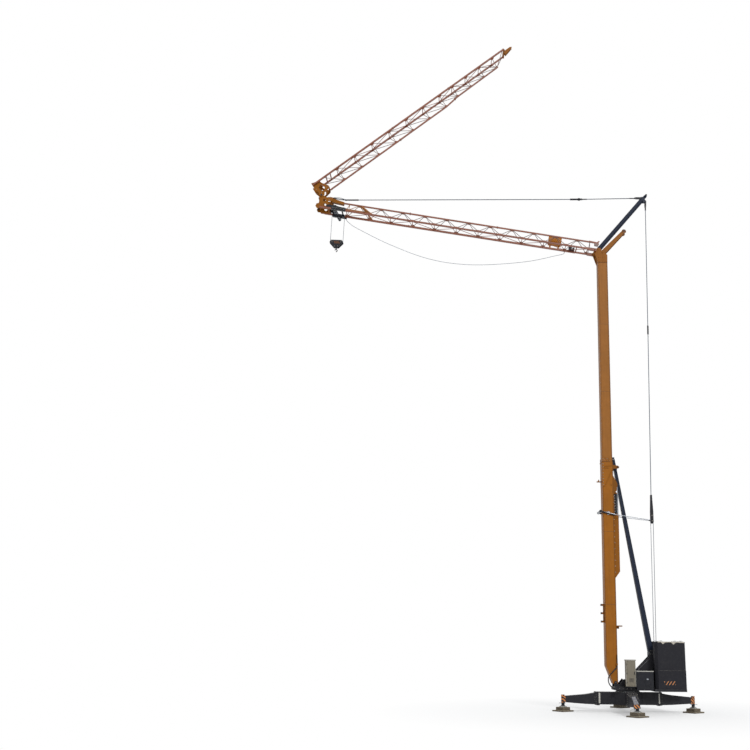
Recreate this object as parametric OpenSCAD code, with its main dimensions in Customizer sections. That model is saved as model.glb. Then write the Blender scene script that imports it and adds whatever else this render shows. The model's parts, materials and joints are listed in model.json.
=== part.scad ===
// Self-erecting tower crane, set up on four jacks, its outer jib folded back over the inner one.
// The origin is on the slewing axis at ground level, +Z is up and the jib points to -X.

/* [Chassis] */
// Angle of the outrigger cross under the slewing part, degrees
chassis_turn = -3.5; // [-15:0.5:15]
// Distance from the slewing axis to each jack screw
jack_reach = 3070; // [2950:10:3400]
// Distance from the slewing axis to the flange that each arm is bolted to
hub_reach = 1550; // [1400:10:1650]
// Width of the cross beams
beam_w = 430; // [380:5:500]
// Underside of the cross beams above the ground
beam_bottom = 340; // [320:5:360]
// Top of the cross beams above the ground
beam_top = 900; // [880:1:910]
// Side of the square body in the middle of the chassis
hub_w = 1240; // [1200:10:1300]
// Thickness of the bolted flanges
flange_t = 30; // [20:1:40]
// Height of an arm where it meets its leg
arm_tip_h = 270; // [220:5:300]
// Width of an arm where it meets its leg
arm_tip_w = 220; // [160:5:260]

/* [Legs] */
// Radius of the sleeve that holds a jack screw
leg_r = 85; // [75:1:100]
// Underside of a sleeve above the ground
leg_bottom = 400; // [380:5:440]
// Top of a sleeve above the ground
leg_top = 750; // [700:5:780]
// Radius of a jack screw
screw_r = 38; // [30:1:45]
// Radius of a jack's round foot
foot_r = 175; // [150:5:200]
// Clearance round a jack screw in its leg
screw_gap = 3; // [1:0.5:5]
// Side of the square timber block under a jack
block_w = 480; // [400:10:520]
// Height of the timber block
block_h = 140; // [120:5:150]
// Side of the square board on the ground
board_w = 720; // [650:10:800]
// Thickness of the board
board_h = 60; // [50:5:70]

/* [Slewing platform] */
// Outer radius of the slewing ring
ring_r = 560; // [500:10:590]
// Height of the slewing ring's fixed half
ring_h = 45; // [40:1:50]
// Width of the deck
deck_w = 1100; // [1000:10:1200]
// Thickness of the deck
deck_t = 150; // [120:5:170]
// Width of the frame under the ballast
rear_w = 1760; // [1700:10:1800]
// Thickness of the frame under the ballast
rear_t = 110; // [90:5:130]
// Gap between the deck's underside and the cross beams
deck_gap = 90; // [85:1:100]

/* [Ballast] */
// Length of a ballast stack
ballast_l = 1450; // [1300:10:1550]
// Thickness of a ballast stack
ballast_t = 550; // [500:10:560]
// Height of the lower ballast blocks
ballast_low_h = 830; // [750:10:900]
// Height of the upper ballast blocks
ballast_up_h = 1300; // [1200:10:1400]
// Distance from the slewing axis to the front of the ballast
ballast_x = 1180; // [1150:5:1250]
// Cut corners of the ballast blocks
ballast_cut = 130; // [60:5:160]

/* [Machinery] */
// Width of the electric cabinet
cabinet_w = 450; // [400:10:500]
// Depth of the electric cabinet
cabinet_d = 300; // [250:10:320]
// Height of the electric cabinet
cabinet_h = 1190; // [1000:10:1300]
// Length of the machinery box
box_l = 790; // [700:10:800]
// Depth of the machinery box
box_d = 520; // [450:10:540]
// Height of the machinery box
box_h = 830; // [600:10:850]
// Radius of the hoist motor
motor_r = 165; // [140:5:180]

/* [Mast] */
// Distance from the slewing axis to the middle of the mast, towards the jib
mast_back = 770; // [760:5:800]
// Width of the lower mast along the jib
mast_low_w = 550; // [500:5:570]
// Width of the lower mast across the jib
mast_low_d = 550; // [500:5:570]
// Width of the upper mast along the jib
mast_up_w = 520; // [500:5:530]
// Width of the upper mast across the jib
mast_up_d = 490; // [440:5:500]
// Wall thickness of the mast
mast_wall = 10; // [8:1:16]
// Bottom of the mast above the ground
mast_foot_z = 1280; // [1250:5:1300]
// Height of the mast's joint
mast_joint_z = 11900; // [11500:50:12200]
// Top of the mast
mast_top_z = 23150; // [23050:10:23250]

/* [Inner jib] */
// Rise of the inner jib, degrees
jib_rise = 7.5; // [7:0.1:8]
// Height of the jib's root pin above the top of the mast
jib_root_up = 370; // [350:5:400]
// Distance from the slewing axis to the jib's root pin
jib_root_back = 1200; // [1180:5:1230]
// Length of one bay of the inner jib
jib_bay = 1200; // [1180:5:1210]
// Height of the jib's section
jib_h = 580; // [560:5:600]
// Width between the bottom chords of the inner jib
jib_w = 700; // [680:5:720]
// Side of the square bottom chords
chord_w = 80; // [70:2:90]
// Side of the square top chord
top_w = 70; // [60:2:80]
// Radius of the bracing tubes
brace_r = 17; // [14:1:20]
// Distance from the root pin to the folding pivot, along the jib
pivot_along = 15070; // [15000:10:15150]
// Height of the folding pivot above the bottom chords
pivot_up = 730; // [720:5:760]
// Radius of the folding pivot's pin
pivot_r = 32; // [28:1:40]

/* [Outer jib] */
// Angle by which the outer jib is folded back from the line of the inner one, degrees
jib_fold = 130.7; // [125:0.1:135]
// Length of the outer jib from the pivot to its tip
outer_l = 14380; // [14300:10:14500]
// Width between the bottom chords of the outer jib
outer_w = 720; // [700:5:740]
// Height of the outer jib's deep part
outer_h = 650; // [600:5:660]
// Height of the outer jib's shallow part
outer_low_h = 545; // [500:5:560]
// Length of one bay of the deep part
outer_bay = 1215; // [1200:5:1220]
// Length of one bay of the shallow part
outer_low_bay = 1000; // [980:5:1010]

/* [Head and stays] */
// Radius of the head strut
strut_r = 125; // [100:5:135]
// Height of the head strut's tip above the top of the mast
strut_tip_up = 3765; // [3700:5:3800]
// Distance from the slewing axis to the head strut's tip, away from the jib
strut_tip_x = 1650; // [1600:10:1700]
// Radius of the pendant over the jib
pendant_r = 22; // [18:1:25]
// Radius of the back stay
stay_r = 20; // [17:1:23]
// Radius of the two ropes below the rope block
rope_r = 13; // [10:1:15]

/* [Trolley and hook] */
// Distance from the root pin to the middle of the trolley
trolley_along = 13990; // [13900:10:14050]
// Length of the trolley
trolley_l = 760; // [700:10:800]
// Distance between the two falls of hoist rope
fall_gap = 650; // [600:10:680]
// Radius of a fall of hoist rope
fall_r = 11; // [8:1:13]
// Height of the top of the hook block above the ground
hook_top_z = 23690; // [23500:10:23800]
// Height of the hook block
hook_h = 420; // [380:10:450]
// Thickness of the hook block
hook_t = 190; // [160:10:220]

/* [Hidden] */
// Smoothness of round parts
$fn = 32;
// Thickness of side plates
plate_t = 20;
// Room left between plates that turn past each other
side_gap = 12;
// Running gap round a pin
pin_gap = 0.05;
// Gap of a seat that something only rests on
seat_gap = 0.3;
// Gap between two faces that are bolted together
face_gap = 0.05;

mast_x = -mast_back;
mast_rear = mast_x + mast_low_w / 2;
mast_front = mast_x - mast_low_w / 2;
deck_z = beam_top + deck_gap;
deck_top = deck_z + deck_t;
rear_z = deck_z - 30;
rear_top = rear_z + rear_t;
rear_end = ballast_x + ballast_l;
deck_front = mast_x + 90;
ballast_y = rear_w / 2 - 30;
ballast_mid_z = rear_top + ballast_low_h;
ballast_top_z = ballast_mid_z + ballast_up_h;
jib_root = [-jib_root_back, 0, mast_top_z + jib_root_up];

// Places along the inner jib: along from the root pin, across, and up from the bottom chords
function jib_local(s, y, n) = [-s, y, n];
function jib_point(s, y, n) = jib_root + [
    -s * cos(jib_rise) + n * sin(jib_rise), y, s * sin(jib_rise) + n * cos(jib_rise)];
pivot = jib_point(pivot_along, 0, pivot_up);

// Lattice of the inner jib
jib_first = 380;
jib_tail = 1370;
jib_bays = floor((pivot_along - jib_tail - jib_first) / jib_bay);
jib_last = jib_first + jib_bays * jib_bay;
jib_end = pivot_along - 30;
fork_start = pivot_along - 1250;
rail_w = 34;
rail_t = 10;
rail_low = -chord_w / 2;

// Lattice of the outer jib
outer_first = 400;
outer_bays = 7;
outer_bend = outer_first + outer_bays * outer_bay;
outer_bend_l = 940;
outer_low_first = outer_bend + outer_bend_l;
outer_low_bays = 3;
outer_last = outer_low_first + outer_low_bays * outer_low_bay;
outer_end = outer_last + 900;
outer_in = outer_w / 2 - chord_w / 2;

// Plates of the fold
fork_in = jib_w / 2 - 105;
fork_out = fork_in + plate_t;
cheek_in = fork_out + side_gap;
cheek_out = cheek_in + plate_t;

// Trolley
wheel_r = 45;
wheel_w = 26;
wheel_y = jib_w / 2 + chord_w / 2 + 8;
wheel_n = rail_low + rail_t + wheel_r + seat_gap;
side_y = wheel_y + wheel_w + 8;
side_t = 10;
trolley_low = -270;
side_low = -120;
lever_a = [-155, -side_y, -125];
lever_b = [10, side_y, -195];
lever_w = 180;
sheave_r = 150;

// Head
strut_foot = [mast_x - 235, 0, mast_top_z + 450];
strut_tip_z = mast_top_z + strut_tip_up;
strut_tip = [strut_tip_x, 0, strut_tip_z];
arm_foot = [mast_x, 0, mast_top_z + 265];
arm_tip = [mast_x + 1225, 0, mast_top_z + 1630];
eye_r = 40;
eye_pin_r = 18;
eye_y = 18;
tip_y = 40;
pendant_pin = [strut_tip_x - 130, 0, strut_tip_z - 10];
stay_pin = [strut_tip_x + 90, 0, strut_tip_z - 230];
pendant_end = jib_point(pivot_along - 1280, 0, pivot_up + 70);
fork_pin = jib_point(pivot_along - 640, 0, pivot_up + 60);
pendant_joint = 3500;
pendant_sag = 45;

// Rope block and stays behind the mast
block_x = 1460;
block_low = 8870;
block_high = 10300;
block_y = 48;
block_sheave_r = 55;
block_pin = [block_x, 0, block_high - 90];
guide_pin = [block_x - 125, 0, block_low + 160];
guide_high = 9390;
guide_low = 9240;
guide_r = 34;
guide_y = mast_low_d / 2 + guide_r + seat_gap;
drum_r = 130;
drum_x = ballast_x + 265;
drum_z = rear_top + 230;
post_y = 190;
post_pin = [1160, 0, 2700];
strut_low = post_pin;
strut_high = [mast_x + mast_up_w / 2 + 90, 0, mast_joint_z + 180];

// Foot of the mast: the pin it was raised on
mast_pin = [mast_x + 150, 0, mast_foot_z + 60];
mast_pin_r = 30;

// Heights of the fittings on the mast
step_z = 4060;
hose_clip_z = 3880;
front_lug_z = mast_joint_z - 1010;
spine_low = mast_joint_z - 5750;
spine_mid = mast_joint_z - 2630;
spine_high = mast_joint_z - 1250;
bulge_low = mast_joint_z - 1650;
rail_out = 260;
rail_up_out = 245;
step_out = 160;

// Route of the slack rope under the inner jib
rope_y = 500;
rope_s1 = 13700;
rope_s2 = 1560;
SLACK = [
    [-14768, 500, 25417], [-14776, 500, 25357], [-14773, 500, 25291], [-14750, 500, 25212],
    [-14690, 500, 25112], [-14580, 500, 25000], [-14400, 500, 24860], [-14170, 500, 24716],
    [-13600, 500, 24420], [-13050, 500, 24140], [-12500, 500, 23880], [-11900, 500, 23630],
    [-11250, 500, 23370], [-10600, 500, 23150], [-9950, 500, 22980], [-9300, 500, 22860],
    [-8600, 500, 22790], [-7900, 500, 22765], [-7200, 500, 22785], [-6500, 500, 22840],
    [-5800, 500, 22920], [-5150, 500, 23010], [-4500, 500, 23130], [-3900, 500, 23280],
    [-3350, 500, 23440], [-3080, 500, 23512], [-2905, 500, 23560], [-2820, 500, 23592],
    [-2775, 500, 23625], [-2754, 500, 23664], [-2749, 500, 23703]];
slack_r = 12;

// Route of the hose at the foot of the mast
HOSE = [
    [-530, -320, 2110], [-530, -320, 2080], [-541, -322, 2035], [-562, -323, 1999],
    [-589, -325, 1969], [-650, -330, 1908], [-730, -337, 1828], [-815, -344, 1743],
    [-900, -350, 1658], [-940, -352, 1606], [-964, -353, 1546], [-973, -353, 1481],
    [-971, -353, 1400], [-950, -353, 1312], [-906, -352, 1224], [-850, -351, 1152],
    [-797, -350, 1102], [-760, -350, 1075], [-735, -350, 1066], [-712, -350, 1066]];
hose_r = 26;
gland = HOSE[len(HOSE) - 1];

paint = "darkgoldenrod";
dark = "darkslategray";

// A straight bar of few sides between two places
module bar(a, b, r, sides = 6) {
    d = b - a;
    translate(a)
        rotate([0, acos(d[2] / norm(d)), atan2(d[1], d[0])])
            cylinder(h = norm(d), r = r, $fn = sides);
}

// A flat plate with its outline in the XZ plane, from one y to another
module plate(points, y1, y2) {
    translate([0, y2, 0])
        rotate([90, 0, 0])
            linear_extrude(y2 - y1)
                polygon(points);
}

// A round bar or drum across the crane
module cross_pin(x, z, r, y1, y2) {
    translate([x, y2, z])
        rotate([90, 0, 0])
            cylinder(h = y2 - y1, r = r);
}

// A flat eye that turns on a pin across the crane
module eye(at, r, pin_r, half) {
    difference() {
        cross_pin(at[0], at[2], r, -half, half);
        cross_pin(at[0], at[2], pin_r + pin_gap, -half - 1, half + 1);
    }
}

// A box given by its two corners
module block(low, high) {
    translate(low)
        cube(high - low);
}

// The same piece on both sides of the middle plane
module both_sides() {
    children();
    mirror([0, 1, 0])
        children();
}

module in_jib() {
    translate(jib_root)
        rotate([0, jib_rise, 0])
            children();
}

module in_outer_jib() {
    translate(pivot)
        rotate([0, jib_rise + jib_fold, 0])
            translate([0, 0, -pivot_up])
                children();
}

// Rings of a tube swept along a route
function tube_direction(route, i) =
    let (a = route[max(i - 1, 0)], b = route[min(i + 1, len(route) - 1)])
    (b - a) / norm(b - a);
function tube_ring(route, i, r, sides) =
    let (t = tube_direction(route, i), u = cross(t, [0, 1, 0]) / norm(cross(t, [0, 1, 0])),
        v = cross(u, t))
    [for (k = [0 : sides - 1])
        route[i] + r * (cos(360 * k / sides) * u + sin(360 * k / sides) * v)];

module tube(route, r, sides = 8) {
    count = len(route);
    points = [for (i = [0 : count - 1]) each tube_ring(route, i, r, sides)];
    walls = [for (i = [0 : count - 2], k = [0 : sides - 1])
        let (a = i * sides + k, b = i * sides + (k + 1) % sides)
        [a, b, b + sides, a + sides]];
    caps = [[for (k = [sides - 1 : -1 : 0]) k], [for (k = [0 : sides - 1]) (count - 1) * sides + k]];
    polyhedron(points = points, faces = concat(walls, caps), convexity = 6);
}

// Places an arm, leg or jack at one end of the outrigger cross; 0 is right, 1 rear, 2 left, 3 front
module at_arm(k) {
    rotate([0, 0, chassis_turn + 90 * k])
        children();
}

// Cross of box beams with gussets between them and a bolted flange at each end
module chassis_cross() {
    side = beam_w / 2;
    gusset = hub_w / sqrt(2) - side;
    end = hub_reach - flange_t / 2;
    corners = [[gusset, -side], [end, -side], [end, side], [gusset, side]];
    color(dark) {
        translate([0, 0, beam_bottom])
            rotate([0, 0, chassis_turn])
                linear_extrude(beam_top - beam_bottom)
                    polygon([for (k = [0 : 3], p = corners)
                        [p[0] * cos(90 * k) - p[1] * sin(90 * k),
                            p[0] * sin(90 * k) + p[1] * cos(90 * k)]]);
        for (k = [0 : 3])
            at_arm(k)
                block([hub_reach - flange_t, -side - 25, beam_bottom - 20],
                    [hub_reach, side + 25, beam_top + 10]);
    }
}

module outrigger_arm() {
    tip = jack_reach;
    tip_bottom = leg_bottom + 20;
    difference() {
        union() {
            block([hub_reach, -beam_w / 2 - 25, beam_bottom - 20],
                [hub_reach + flange_t, beam_w / 2 + 25, beam_top + 10]);
            intersection() {
                plate([[hub_reach, beam_bottom], [hub_reach + 500, beam_bottom + 15],
                        [tip, tip_bottom], [tip, tip_bottom + arm_tip_h],
                        [hub_reach + 480, beam_top - 120], [hub_reach, beam_top - 40]],
                    -beam_w / 2, beam_w / 2);
                linear_extrude(beam_top)
                    polygon([[hub_reach, -beam_w / 2], [tip, -arm_tip_w / 2],
                        [tip, arm_tip_w / 2], [hub_reach, beam_w / 2]]);
            }
            translate([jack_reach, 0, leg_bottom])
                cylinder(h = leg_top - leg_bottom, r = leg_r);
        }
        translate([jack_reach, 0, leg_bottom - 1])
            cylinder(h = leg_top - leg_bottom - 19, r = screw_r + screw_gap);
    }
}

// The four arms bolted to the cross, each with the sleeve of its jack
module outrigger_arms() {
    color(dark)
        for (k = [0 : 3])
            at_arm(k)
                outrigger_arm();
}

// A jack: its screw, round foot and the lock nut that bears on the sleeve
module jack() {
    foot_z = board_h + block_h + seat_gap;
    top_z = leg_top - 60;
    nut_z = leg_bottom - seat_gap - foot_z;
    color("gray")
        translate([jack_reach, 0, foot_z])
            rotate_extrude()
                polygon([[0, 0], [foot_r, 0], [foot_r, 18], [foot_r * 0.45, 42], [screw_r * 1.7, 62],
                    [screw_r * 1.7, 90], [screw_r, 90], [screw_r, nut_z - 45], [screw_r * 2, nut_z - 45],
                    [screw_r * 2, nut_z], [screw_r, nut_z], [screw_r, top_z - foot_z],
                    [0, top_z - foot_z]]);
}

module jack_right() { at_arm(0) jack(); }
module jack_rear() { at_arm(1) jack(); }
module jack_left() { at_arm(2) jack(); }
module jack_front() { at_arm(3) jack(); }

// A board and a timber block under a jack
module timber_pad() {
    color("tan")
        translate([jack_reach, 0, 0])
            rotate([0, 0, 42]) {
                block([-board_w / 2, -board_w / 2, 0], [board_w / 2, board_w / 2, board_h]);
                block([-block_w / 2, -block_w / 2, board_h],
                    [block_w / 2, block_w / 2, board_h + block_h]);
            }
}

module pad_right() { at_arm(0) timber_pad(); }
module pad_rear() { at_arm(1) timber_pad(); }
module pad_left() { at_arm(2) timber_pad(); }
module pad_front() { at_arm(3) timber_pad(); }

module slew_ring_lower() {
    color("dimgray")
        difference() {
            translate([0, 0, beam_top + face_gap])
                cylinder(h = ring_h - face_gap, r = ring_r);
            translate([0, 0, beam_top - 1])
                cylinder(h = ring_h + 2, r = ring_r - 110);
        }
}

module slew_ring_upper() {
    low = beam_top + ring_h + seat_gap;
    color("dimgray")
        difference() {
            translate([0, 0, low])
                cylinder(h = deck_z - low, r = ring_r - 20);
            translate([0, 0, low - 1])
                cylinder(h = deck_z - low + 2, r = ring_r - 130);
        }
}

module platform() {
    color(dark) {
        block([deck_front, -deck_w / 2, deck_z], [ballast_x, deck_w / 2, deck_top]);
        block([ballast_x - 60, -rear_w / 2, rear_z], [rear_end, rear_w / 2, rear_top]);
        translate(gland)
            rotate([0, 90, 0])
                cylinder(h = deck_front - gland[0], r = hose_r + 8);
    }
}

// Two cheeks that carry the foot of the mast
module mast_foot_bracket() {
    cheek_y = mast_low_d / 2 + 5;
    x = mast_pin[0];
    z = mast_pin[2];
    color(dark) {
        both_sides()
            plate([[deck_front, deck_top], [x + 550, deck_top], [x + 550, deck_top + 240],
                    [x + 410, deck_top + 360], [x + 180, deck_top + 110], [x + 75, deck_top + 110],
                    [x + 55, z + 35], [x + 30, z + 55], [x - 30, z + 55], [x - 55, z + 35]],
                cheek_y, cheek_y + 40);
        cross_pin(x, z, mast_pin_r, -cheek_y - 50, cheek_y + 50);
    }
}

module electric_cabinet() {
    x = -205;
    y = -deck_w / 2 - 260;
    z = deck_top;
    color("gray") {
        block([x, y, z + 40], [x + cabinet_w, y + cabinet_d, z + cabinet_h]);
        block([x - 20, y - 20, z + cabinet_h], [x + cabinet_w + 20, y + cabinet_d + 20, z + cabinet_h + 40]);
        block([x + 60, y + cabinet_d, z], [x + cabinet_w - 60, -deck_w / 2 + 60, z + 60]);
    }
}

module machinery_box() {
    x = 285;
    y = -deck_w / 2 - 300;
    z = deck_z + 30;
    color(dark) {
        block([x, y, z], [x + box_l, y + box_d - 220, z + box_h]);
        block([x, y + box_d - 220, deck_top], [x + box_l, y + box_d, z + box_h]);
    }
    color("lightgray")
        block([x - 10, y - 10, z + box_h], [x + box_l + 10, y + box_d, z + box_h + 25]);
}

// Upright hoist winch on the far side of the deck: drum, gearbox and motor
module hoist_winch() {
    r = motor_r;
    color(dark)
        translate([690, deck_w / 2 - r - 10, deck_top]) {
            block([-260, -r - 10, 0], [260, r + 10, 30]);
            rotate_extrude()
                polygon([[0, 30], [r, 30], [r, 60], [r * 0.85, 60], [r * 0.85, 230], [r, 230],
                    [r, 290], [r * 0.72, 290], [r * 0.72, 470], [r * 0.9, 470], [r * 0.9, 500],
                    [r * 0.78, 500], [r * 0.78, 690], [0, 690]]);
        }
}

// Winch between the ballast stacks that pulls the mast up, and the anchor of its second rope
module erection_winch() {
    color(dark) {
        for (y = [-230, 10])
            block([drum_x - 150, y, rear_top], [drum_x + 150, y + 20, drum_z + 60]);
        cross_pin(drum_x, drum_z, drum_r, -210, 10);
        block([drum_x - 40, 90, rear_top], [drum_x + 40, 150, rear_top + 90]);
    }
}

// One layer of ballast on both sides, with cut corners
module ballast_layer(z1, z2, inset) {
    x1 = ballast_x + inset;
    x2 = ballast_x + ballast_l - inset;
    y1 = ballast_y - ballast_t + inset;
    y2 = ballast_y - inset;
    c = ballast_cut;
    both_sides()
        translate([0, 0, z1])
            linear_extrude(z2 - z1)
                polygon([[x1 + c, y1], [x2, y1], [x2, y2], [x1 + c, y2], [x1, y2 - c], [x1, y1 + c]]);
}

module ballast_lower() {
    color(dark)
        ballast_layer(rear_top, ballast_mid_z, 0);
}

module ballast_upper() {
    color(dark)
        ballast_layer(ballast_mid_z, ballast_top_z, 8);
}

// Post at the back of the deck that carries the foot of the rear strut
module rear_post() {
    color(dark) {
        both_sides()
            plate([[330, deck_top], [ballast_x, deck_top], [ballast_x, rear_top],
                    [post_pin[0] + 130, rear_top], [post_pin[0] + 130, post_pin[2] + 60],
                    [post_pin[0] + 60, post_pin[2] + 130], [post_pin[0] - 60, post_pin[2] + 130],
                    [post_pin[0] - 120, post_pin[2] + 20], [post_pin[0] - 120, post_pin[2] - 180],
                    [430, deck_top + 780], [330, deck_top + 780]],
                post_y - plate_t * 1.5, post_y);
        cross_pin(post_pin[0], post_pin[2], 40, -post_y - 20, post_y + 20);
        block([700, -post_y, deck_top], [740, post_y, deck_top + 900]);
    }
}

module mast_lower() {
    h = mast_joint_z;
    w = mast_low_w / 2;
    d = mast_low_d / 2;
    color(paint)
        difference() {
            plate([[mast_x + 40, mast_foot_z], [mast_x + w, mast_foot_z], [mast_x + w, h],
                    [mast_x - w, h], [mast_x - w, mast_foot_z + 800]], -d, d);
            plate([[mast_x + 60, mast_foot_z + 300], [mast_x + w - mast_wall, mast_foot_z + 300],
                    [mast_x + w - mast_wall, h - 30], [mast_x - w + mast_wall, h - 30],
                    [mast_x - w + mast_wall, mast_foot_z + 810]], -d + mast_wall, d - mast_wall);
            cross_pin(mast_pin[0], mast_pin[2], mast_pin_r + pin_gap, -d - 1, d + 1);
            translate([mast_x, 0, h - 31])
                cylinder(h = 32, r = 120);
        }
}

module mast_upper() {
    w = mast_up_w / 2;
    d = mast_up_d / 2;
    color(paint)
        difference() {
            block([mast_x - w, -d, mast_joint_z], [mast_x + w, d, mast_top_z]);
            block([mast_x - w + mast_wall, -d + mast_wall, mast_joint_z - 1],
                [mast_x + w - mast_wall, d - mast_wall, mast_top_z - mast_wall]);
        }
}

// Joint plates, lugs, ladder pegs and brackets on the mast
module mast_fittings() {
    d = mast_low_d / 2;
    j = mast_joint_z;
    pin = [mast_rear + 250, j - 270];
    color(paint) {
        both_sides() {
            plate([[mast_front, j - 1260], [mast_rear - 400, j - 1260], [mast_rear - 40, j - 480],
                    [mast_rear, j - 350], [pin[0], j - 340], [pin[0] + 60, j - 310],
                    [pin[0] + 70, j - 250], [pin[0] + 20, j - 195], [mast_rear, j - 160],
                    [mast_rear - 380, j + 210], [mast_front, j + 210]],
                d, d + plate_t);
            plate([[mast_rear, bulge_low], [mast_rear + 200, bulge_low + 230],
                    [mast_rear + 210, bulge_low + 560], [mast_rear, bulge_low + 950]],
                d - plate_t, d);
        }
        block([mast_front - 20, -d - plate_t, j - 30], [mast_front, d + plate_t, j + 30]);
        for (y = [-d - plate_t - 20, d - plate_t])
            cross_pin(pin[0], pin[1], 50, y, y + 2 * plate_t);
        for (z = [0, 390, 780])
            block([mast_front - step_out, -90, step_z + z], [mast_front, 90, step_z + z + 90]);
        block([mast_front - 50, -60, step_z], [mast_front, 60, step_z + 870]);
        block([mast_rear, -120, hose_clip_z], [mast_rear + 300, 120, hose_clip_z + 50]);
        block([mast_rear, -15, hose_clip_z - 100], [mast_rear + 160, 15, hose_clip_z]);
        block([mast_front - 240, -60, front_lug_z], [mast_front, 60, front_lug_z + 40]);
        block([mast_front - 160, -60, front_lug_z + 40], [mast_front - 120, 60, front_lug_z + 120]);
        block([HOSE[0][0] - 45, -d - 85, HOSE[0][2]], [HOSE[0][0] + 30, -d, HOSE[0][2] + 80]);
    }
}

// Hollow spine behind the mast: a deep lower part and a shallow upper part
module mast_rear_rail() {
    x = mast_rear;
    color(paint)
        plate([[x, spine_low], [x + 30, spine_low + 20], [x + rail_out, spine_low + 330],
                [x + rail_out, spine_mid], [x + rail_up_out, spine_mid + 20],
                [x + rail_up_out, spine_high - 330], [x + 120, spine_high - 240],
                [x + 120, spine_high - 90], [x, spine_high]], -130, 130);
}

// Tapered strut from the rear post to the lugs behind the mast
module rear_strut() {
    foot_w = 120;
    head_w = 62;
    low = strut_low;
    high = strut_high;
    lean = atan2(low[0] - high[0], high[2] - low[2]);
    long = norm(high - low);
    color(dark) {
        difference() {
            translate(low)
                rotate([0, -lean, 0])
                    intersection() {
                        plate([[-foot_w, -110], [foot_w, -110], [foot_w, 600], [head_w, long],
                                [-head_w, long], [-foot_w, 600]], -130, 130);
                        rotate([90, 0, 90])
                            linear_extrude(2 * foot_w, center = true)
                                polygon([[-130, -110], [130, -110], [130, 600], [85, long],
                                    [-85, long], [-130, 600]]);
                    }
            cross_pin(low[0], low[2], 40 + pin_gap, -140, 140);
        }
        both_sides()
            block([mast_x + mast_up_w / 2, 86, high[2] - 90], [high[0] + 40, 110, high[2] + 90]);
        cross_pin(high[0], high[2] - 30, 30, -115, 115);
    }
}

// Two bars past the mast that hold the rope block out behind it
module guide_bar() {
    bend = mast_rear + 60;
    end_y = block_y + plate_t + 55;
    color("slategray") {
        both_sides() {
            bar([mast_front - 130, guide_y, guide_high], [bend, guide_y, guide_low], guide_r, 8);
            bar([bend, guide_y, guide_low], [guide_pin[0], end_y, guide_pin[2]], 17, 8);
            block([mast_x - 60, mast_low_d / 2, guide_low - 10], [mast_x + 60, guide_y, guide_high]);
        }
        cross_pin(mast_front - 130, guide_high, 60, -guide_y - 34, guide_y + 34);
        cross_pin(guide_pin[0], guide_pin[2], 14, -end_y, end_y);
    }
}

module rope_block() {
    x = block_x;
    color("black")
        difference() {
            union() {
                both_sides()
                    plate([[x - 75, block_low + 60], [x - 50, block_low], [x + 50, block_low],
                            [x + 75, block_low + 60], [x + 75, block_low + 560],
                            [x + 45, block_high - 200], [x + 40, block_high], [x - 40, block_high],
                            [x - 45, block_high - 200], [x - 75, block_low + 560],
                            [x - 75, block_low + 200], [guide_pin[0] - 25, guide_pin[2] + 20],
                            [guide_pin[0] - 25, guide_pin[2] - 20], [x - 75, block_low + 120]],
                        block_y, block_y + plate_t);
                for (z = [block_low + 130, block_low + 400]) {
                    cross_pin(x, z, 22, -block_y - plate_t - 4, block_y + plate_t + 4);
                    cross_pin(x, z, block_sheave_r, -40, 40);
                }
                cross_pin(block_pin[0], block_pin[2], eye_pin_r, -block_y - plate_t - 4,
                    block_y + plate_t + 4);
            }
            cross_pin(guide_pin[0], guide_pin[2], 14 + pin_gap, -100, 100);
        }
}

// Back stay from the head strut to the rope block, and the ropes from there down to the deck
module back_stay() {
    joint = [1620, 0, 19130];
    down = (block_pin - stay_pin) / norm(block_pin - stay_pin);
    x1 = block_x - block_sheave_r - rope_r - 2;
    x2 = block_x + block_sheave_r + rope_r + 2;
    rope_end = drum_x - drum_r - rope_r - 1;
    color("lightslategray") {
        bar(stay_pin + down * 510, joint + [3, 0, 230], stay_r, 16);
        bar(joint - [3, 0, 230], block_pin - down * 80, stay_r, 16);
        bar([x1, -20, block_low + 130], [rope_end, -100, drum_z], rope_r, 16);
        bar([x2, 20, block_low + 130], [drum_x, 120, rear_top + 90.5], rope_r, 16);
    }
    color("black") {
        bar(stay_pin + down * 36, stay_pin + down * 520, stay_r + 16, 12);
        eye(stay_pin, eye_r, eye_pin_r, eye_y);
        bar(joint + [3, 0, 240], joint - [3, 0, 240], stay_r + 20, 12);
        bar(block_pin - down * 90, block_pin - down * 36, stay_r + 1, 12);
        eye(block_pin, eye_r, eye_pin_r, eye_y);
    }
}

// Cheeks on the mast head that carry the jib root, the head strut and the arm
module head_plates() {
    y1 = mast_up_d / 2;
    w = mast_up_w / 2;
    h = mast_top_z;
    color(paint) {
        both_sides()
            plate([[jib_root[0] - 40, jib_root[2] - 60], [mast_x - w, h - 310], [mast_x + w, h - 310],
                    [mast_x + w + 5, h + 125], [mast_x + 60, h + 345], [mast_x - 40, h + 385],
                    [mast_x - 110, h + 520], [mast_x - 250, h + 535], [mast_x - 320, h + 490],
                    [jib_root[0] - 80, jib_root[2] + 60]],
                y1, y1 + plate_t);
        cross_pin(jib_root[0], jib_root[2], 30, -y1 - plate_t - 60, y1 + plate_t + 60);
        cross_pin(strut_foot[0], strut_foot[2], 34, -y1 - plate_t - 15, y1 + plate_t + 15);
        cross_pin(arm_foot[0], arm_foot[2], 30, -y1 - plate_t - 15, y1 + plate_t + 15);
        block([mast_x - w + 20, -y1, h], [mast_x + w - 20, y1, h + 20]);
    }
}

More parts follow.
